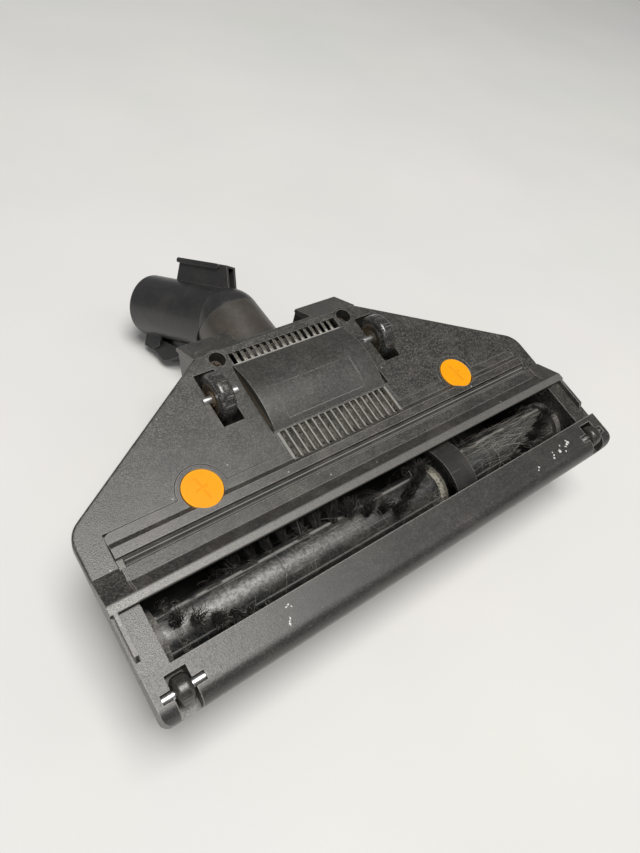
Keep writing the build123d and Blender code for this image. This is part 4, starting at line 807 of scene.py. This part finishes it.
def bristle(x, angle):
    """One bristle of a tuft: splayed from its root, bent over and curled at the tip."""
    outward = rng.uniform(0.0, 1.0) ** 0.5
    facing = rng.uniform(0.0, math.tau)
    spot = outward * np.array((math.cos(facing), math.sin(facing)))
    bend = rng.normal(0.0, BRISTLE_BEND, 2)
    curl = rng.uniform(0.0, math.tau)
    reach = TUFT_TIP - abs(rng.normal(0.0, TIP_WEAR))
    points = []
    for part in np.linspace(0.0, 1.0, BRISTLE_POINTS):
        radius = CORE_RADIUS + ROOT_OFF + (reach - CORE_RADIUS) * part
        spread = ROOT_SPREAD + (TIP_SPREAD - ROOT_SPREAD) * part
        phase = curl + CURL_TURN * part
        wave = BRISTLE_CURL * part * np.array((math.sin(phase), math.cos(phase)))
        shift = spot * spread + bend * part**2 + wave
        points.append(on_brush(x + shift[0], radius, angle + shift[1] / radius))
    dusty = DUSTY_SHADE if rng.uniform() < DUSTY_SHARE else 0.0
    shade = np.linspace(0.0, 0.05, BRISTLE_POINTS) + rng.uniform(0.0, 0.03) + dusty
    return np.array(points), BRISTLE_WIDTH * MM, 0.6 * BRISTLE_WIDTH * MM, shade


bundles = [bristle(x, angle) for x, angle in tuft_places() for _ in range(BRISTLES_PER_TUFT)]
bristle_tufts = fibre_mesh("bristle_tufts", bundles, "brush")
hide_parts("brush_tufts")

# %% [markdown]
# A used brush bar collects hair. Long strands wind round it between the tufts, some pale and some dark. On
# the right part they have been combed along the bar and fan out at its end. Short lint mats where the belt
# guard and the end discs rub, and keeps clear of the belt. All of it turns with the brush.

# %% Hair and lint
STRANDS = 60
COMBED_STRANDS = 44
COMBED_START = (50.0, 92.0)
COMBED_LENGTH = (14.0, 55.0)
COMBED_SIDE = (80.0, 26.0)
COMBED_FAN = 0.35
COMBED_POINTS = 20
STRAND_START = 112.0
STRAND_END = 117.0
STRAND_TRAVEL = 16.0
STRAND_TURN = (1.2, 5.0)
STRAND_LIFT = (0.6, 5.5)
STRAND_POINTS = 28
STRAND_WIDTH = 0.06
PALE_SHARE = 0.7
HAIR_OFF = 0.9
LINT_WIDTH = 0.05
LINT_END = 118.0
LINT_ROOM = 1.0
LINT_CURL = 1.4
LINT_POINTS = 5
LINT_SINK = 0.3
LINT_RISE = 0.8


def strand():
    """Hair wound part of a turn round the brush, slack enough to wander in and out."""
    start_x = rng.uniform(-STRAND_START, STRAND_START)
    travel = rng.normal(0.0, STRAND_TRAVEL)
    start = rng.uniform(0.0, math.tau)
    turn = rng.uniform(*STRAND_TURN)
    lift = rng.uniform(*STRAND_LIFT)
    wander = rng.uniform(0.0, math.tau)
    points = []
    for part in np.linspace(0.0, 1.0, STRAND_POINTS):
        radius = CORE_RADIUS + HAIR_OFF + lift * (0.5 + 0.5 * math.sin(wander + 7.0 * part))
        x = start_x + travel * part + 1.2 * math.sin(wander + 11.0 * part)
        points.append(on_brush(np.clip(x, -STRAND_END, STRAND_END), radius, start + turn * part))
    pale = rng.uniform(0.25, 1.0) if rng.uniform() < PALE_SHARE else 0.03
    return np.array(points), STRAND_WIDTH * MM, STRAND_WIDTH * MM, pale


def combed_strand():
    """Hair that lies along the right part of the brush and fans out towards its end."""
    start_x = rng.uniform(*COMBED_START)
    end_x = min(start_x + rng.uniform(*COMBED_LENGTH), STRAND_END)
    angle = math.radians(rng.normal(*COMBED_SIDE))
    fan = rng.normal(0.0, COMBED_FAN)
    wander = rng.uniform(0.0, math.tau)
    points = []
    for part in np.linspace(0.0, 1.0, COMBED_POINTS):
        radius = CORE_RADIUS + HAIR_OFF + 0.5 * math.sin(wander + 6.0 * part) ** 2 + 1.5 * part**3
        turned = angle + fan * part**2 + 0.1 * math.sin(wander + 8.0 * part)
        points.append(on_brush(start_x + (end_x - start_x) * part, radius, turned))
    return np.array(points), STRAND_WIDTH * MM, STRAND_WIDTH * MM, rng.uniform(0.3, 1.0)


def lint(x, spread, low, high):
    """Short curled fibre near one place along the brush, between two radii."""
    angle = rng.uniform(0.0, math.tau)
    radius = rng.uniform(low, high)
    middle = rng.normal(x, spread)
    curl = rng.normal(0.0, LINT_CURL, (LINT_POINTS, 3)).cumsum(axis=0)
    left_of_belt = middle < (GUARD_LEFT + GUARD_RIGHT) / 2
    ends = (-LINT_END, GUARD_LEFT - LINT_ROOM) if left_of_belt else (GUARD_RIGHT + LINT_ROOM, LINT_END)
    along = np.clip(middle + curl[:, 0], *ends)
    radii = np.clip(radius + curl[:, 1], low - LINT_SINK, high + LINT_RISE)
    turned = angle + curl[:, 2] / radius
    points = [on_brush(*spot) for spot in zip(along, radii, turned)]
    return np.array(points), LINT_WIDTH * MM, LINT_WIDTH * MM, rng.uniform(0.15, 0.9)


hairs = [strand() for _ in range(STRANDS)] + [combed_strand() for _ in range(COMBED_STRANDS)]
fibre_mesh("caught_hair", hairs, "brush")

# Each mat is its place across, spread, number of fibres, and lowest and highest radius
MATS = ((24.0, 3.0, 220, 11.4, 15.0), (47.5, 1.5, 140, 11.4, 14.0), (-117.0, 1.6, 120, 11.4, 13.5),
        (117.0, 1.6, 160, 11.4, 14.5), (-60.0, 30.0, 120, 11.4, 12.6), (75.0, 22.0, 180, 11.4, 12.6))
tangles = [lint(x, spread, low, high) for x, spread, count, low, high in MATS for _ in range(count)]
fibre_mesh("matted_lint", tangles, "brush")

# %% [markdown]
# Air is also drawn in through the grille of the brush cover, and fluff too long to pass stays behind its
# ribs. It belongs to the still part of the head: short curled fibres lie flat just under the ribs, in the
# window of the base plate.

# %% Fluff behind the grille
FLUFF_FIBRES = 1700
FLUFF_WIDTH = 0.08
FLUFF_HALF = 33.0
FLUFF_END = 34.0
FLUFF_TOP = -1.4
FLUFF_LOW = -2.8
FLUFF_CURL = 1.1
FLUFF_POINTS = 6
FLUFF_INSET = 1.5
FLUFF_EDGE = 0.4


def fluff():
    """Short curled fibre that lies flat under the ribs of the grille."""
    front, rear = GRILLE
    across = rng.uniform(-FLUFF_HALF, FLUFF_HALF)
    middle = np.array((across, rng.uniform(front + FLUFF_INSET, rear - FLUFF_INSET)))
    curl = middle + rng.normal(0.0, FLUFF_CURL, (FLUFF_POINTS, 2)).cumsum(axis=0)
    curl = np.clip(curl, (-FLUFF_END, front + FLUFF_EDGE), (FLUFF_END, rear - FLUFF_EDGE))
    heights = rng.uniform(FLUFF_LOW, FLUFF_TOP, FLUFF_POINTS)
    points = [on_sole(x, y, z) for (x, y), z in zip(curl, heights)]
    return np.array(points), FLUFF_WIDTH * MM, FLUFF_WIDTH * MM, rng.uniform(0.2, 0.8)


fibre_mesh("grille_fluff", [fluff() for _ in range(FLUFF_FIBRES)], "head")

# %% [markdown]
# ## Stage
#
# A plain pale floor, one wide soft light above the nose, a weak one from each side and a dim even sky. With
# most light from one place, faces that turn to it shine and the slopes that look to the rear stay dark,
# which is what tells the eye where the steps are.

# %% Floor, light and sky
FLOOR_HALF = 4.0
FLOOR_COLOR = (0.8, 0.8, 0.79, 1.0)
WARM = (1.0, 0.975, 0.935)
SKY_COLOR = (0.95, 0.98, 1.0, 1.0)
SKY_STRENGTH = 0.16


def pale_floor():
    """Pale matt floor with a trace of unevenness."""
    material, tree, shader = new_material("pale_floor")
    texture = use_group(tree, grain_group, {"Scale": 700.0})
    tone = use_group(tree, mottle_group, {"Color": FLOOR_COLOR, "Shade": 0.02, "Scale": 6.0})["Color"]
    bumps = put(tree, "ShaderNodeBump",
                {"Height": texture["Height"], "Strength": 0.2, "Distance": 0.0001}).outputs[0]
    sheen = calc(tree, "ADD", 0.7, calc(tree, "MULTIPLY", texture["Speckle"], 0.1))
    link_look(tree, shader, tone, sheen, bumps)
    return material


floor_mesh = bpy.data.meshes.new("floor")
floor_mesh.from_pydata([(-FLOOR_HALF, -FLOOR_HALF, 0.0), (FLOOR_HALF, -FLOOR_HALF, 0.0),
                        (FLOOR_HALF, FLOOR_HALF, 0.0), (-FLOOR_HALF, FLOOR_HALF, 0.0)], [], [(0, 1, 2, 3)])
floor_mesh.materials.append(pale_floor())
floor = bpy.data.objects.new("floor", floor_mesh)
bpy.context.scene.collection.objects.link(floor)


def soft_light(name, place, power, width, color):
    """Square area light that faces the head."""
    lamp = bpy.data.lights.new(name, "AREA")
    lamp.energy = power
    lamp.size = width
    lamp.color = color
    light = bpy.data.objects.new(name, lamp)
    light.location = place
    light.rotation_euler = (-Vector(place)).to_track_quat("-Z", "Y").to_euler()
    bpy.context.scene.collection.objects.link(light)


soft_light("window", (-0.1, -0.42, 2.4), 55.0, 1.3, WARM)
soft_light("near_side", (-1.4, -0.9, 1.0), 3.0, 0.8, WARM)
soft_light("far_side", (1.1, -0.95, 1.5), 0.9, 0.4, WARM)
sky = bpy.data.worlds.new("sky")
sky.use_nodes = True
background = sky.node_tree.nodes["Background"]
background.inputs["Color"].default_value = SKY_COLOR
background.inputs["Strength"].default_value = SKY_STRENGTH
bpy.context.scene.world = sky
bpy.context.scene.view_settings.view_transform = "Standard"
print("stage set")

# %% [markdown]
# The camera stands close, to the left of the nose, and looks down across the sole. A short distance gives a
# strong perspective, so the near corner looms large.

# %% Camera
CAMERA_AT = (-0.1666, -0.13806, 0.29603)
CAMERA_RIGHT = (0.795, -0.583, 0.166)
CAMERA_UP = (0.356, 0.670, 0.651)
CAMERA_BACK = (-0.491, -0.458, 0.741)
SENSOR_HEIGHT = 36.0
LENS = 26.67
camera_data = bpy.data.cameras.new("camera")
camera_data.sensor_fit = "VERTICAL"
camera_data.sensor_height = SENSOR_HEIGHT
camera_data.lens = LENS
camera_data.dof.use_dof = False
camera = bpy.data.objects.new("camera", camera_data)
turn = Matrix((CAMERA_RIGHT, CAMERA_UP, CAMERA_BACK)).transposed()
camera.matrix_world = Matrix.Translation(CAMERA_AT) @ turn.to_4x4()
bpy.context.scene.collection.objects.link(camera)
bpy.context.scene.camera = camera
print("camera at", CAMERA_AT)
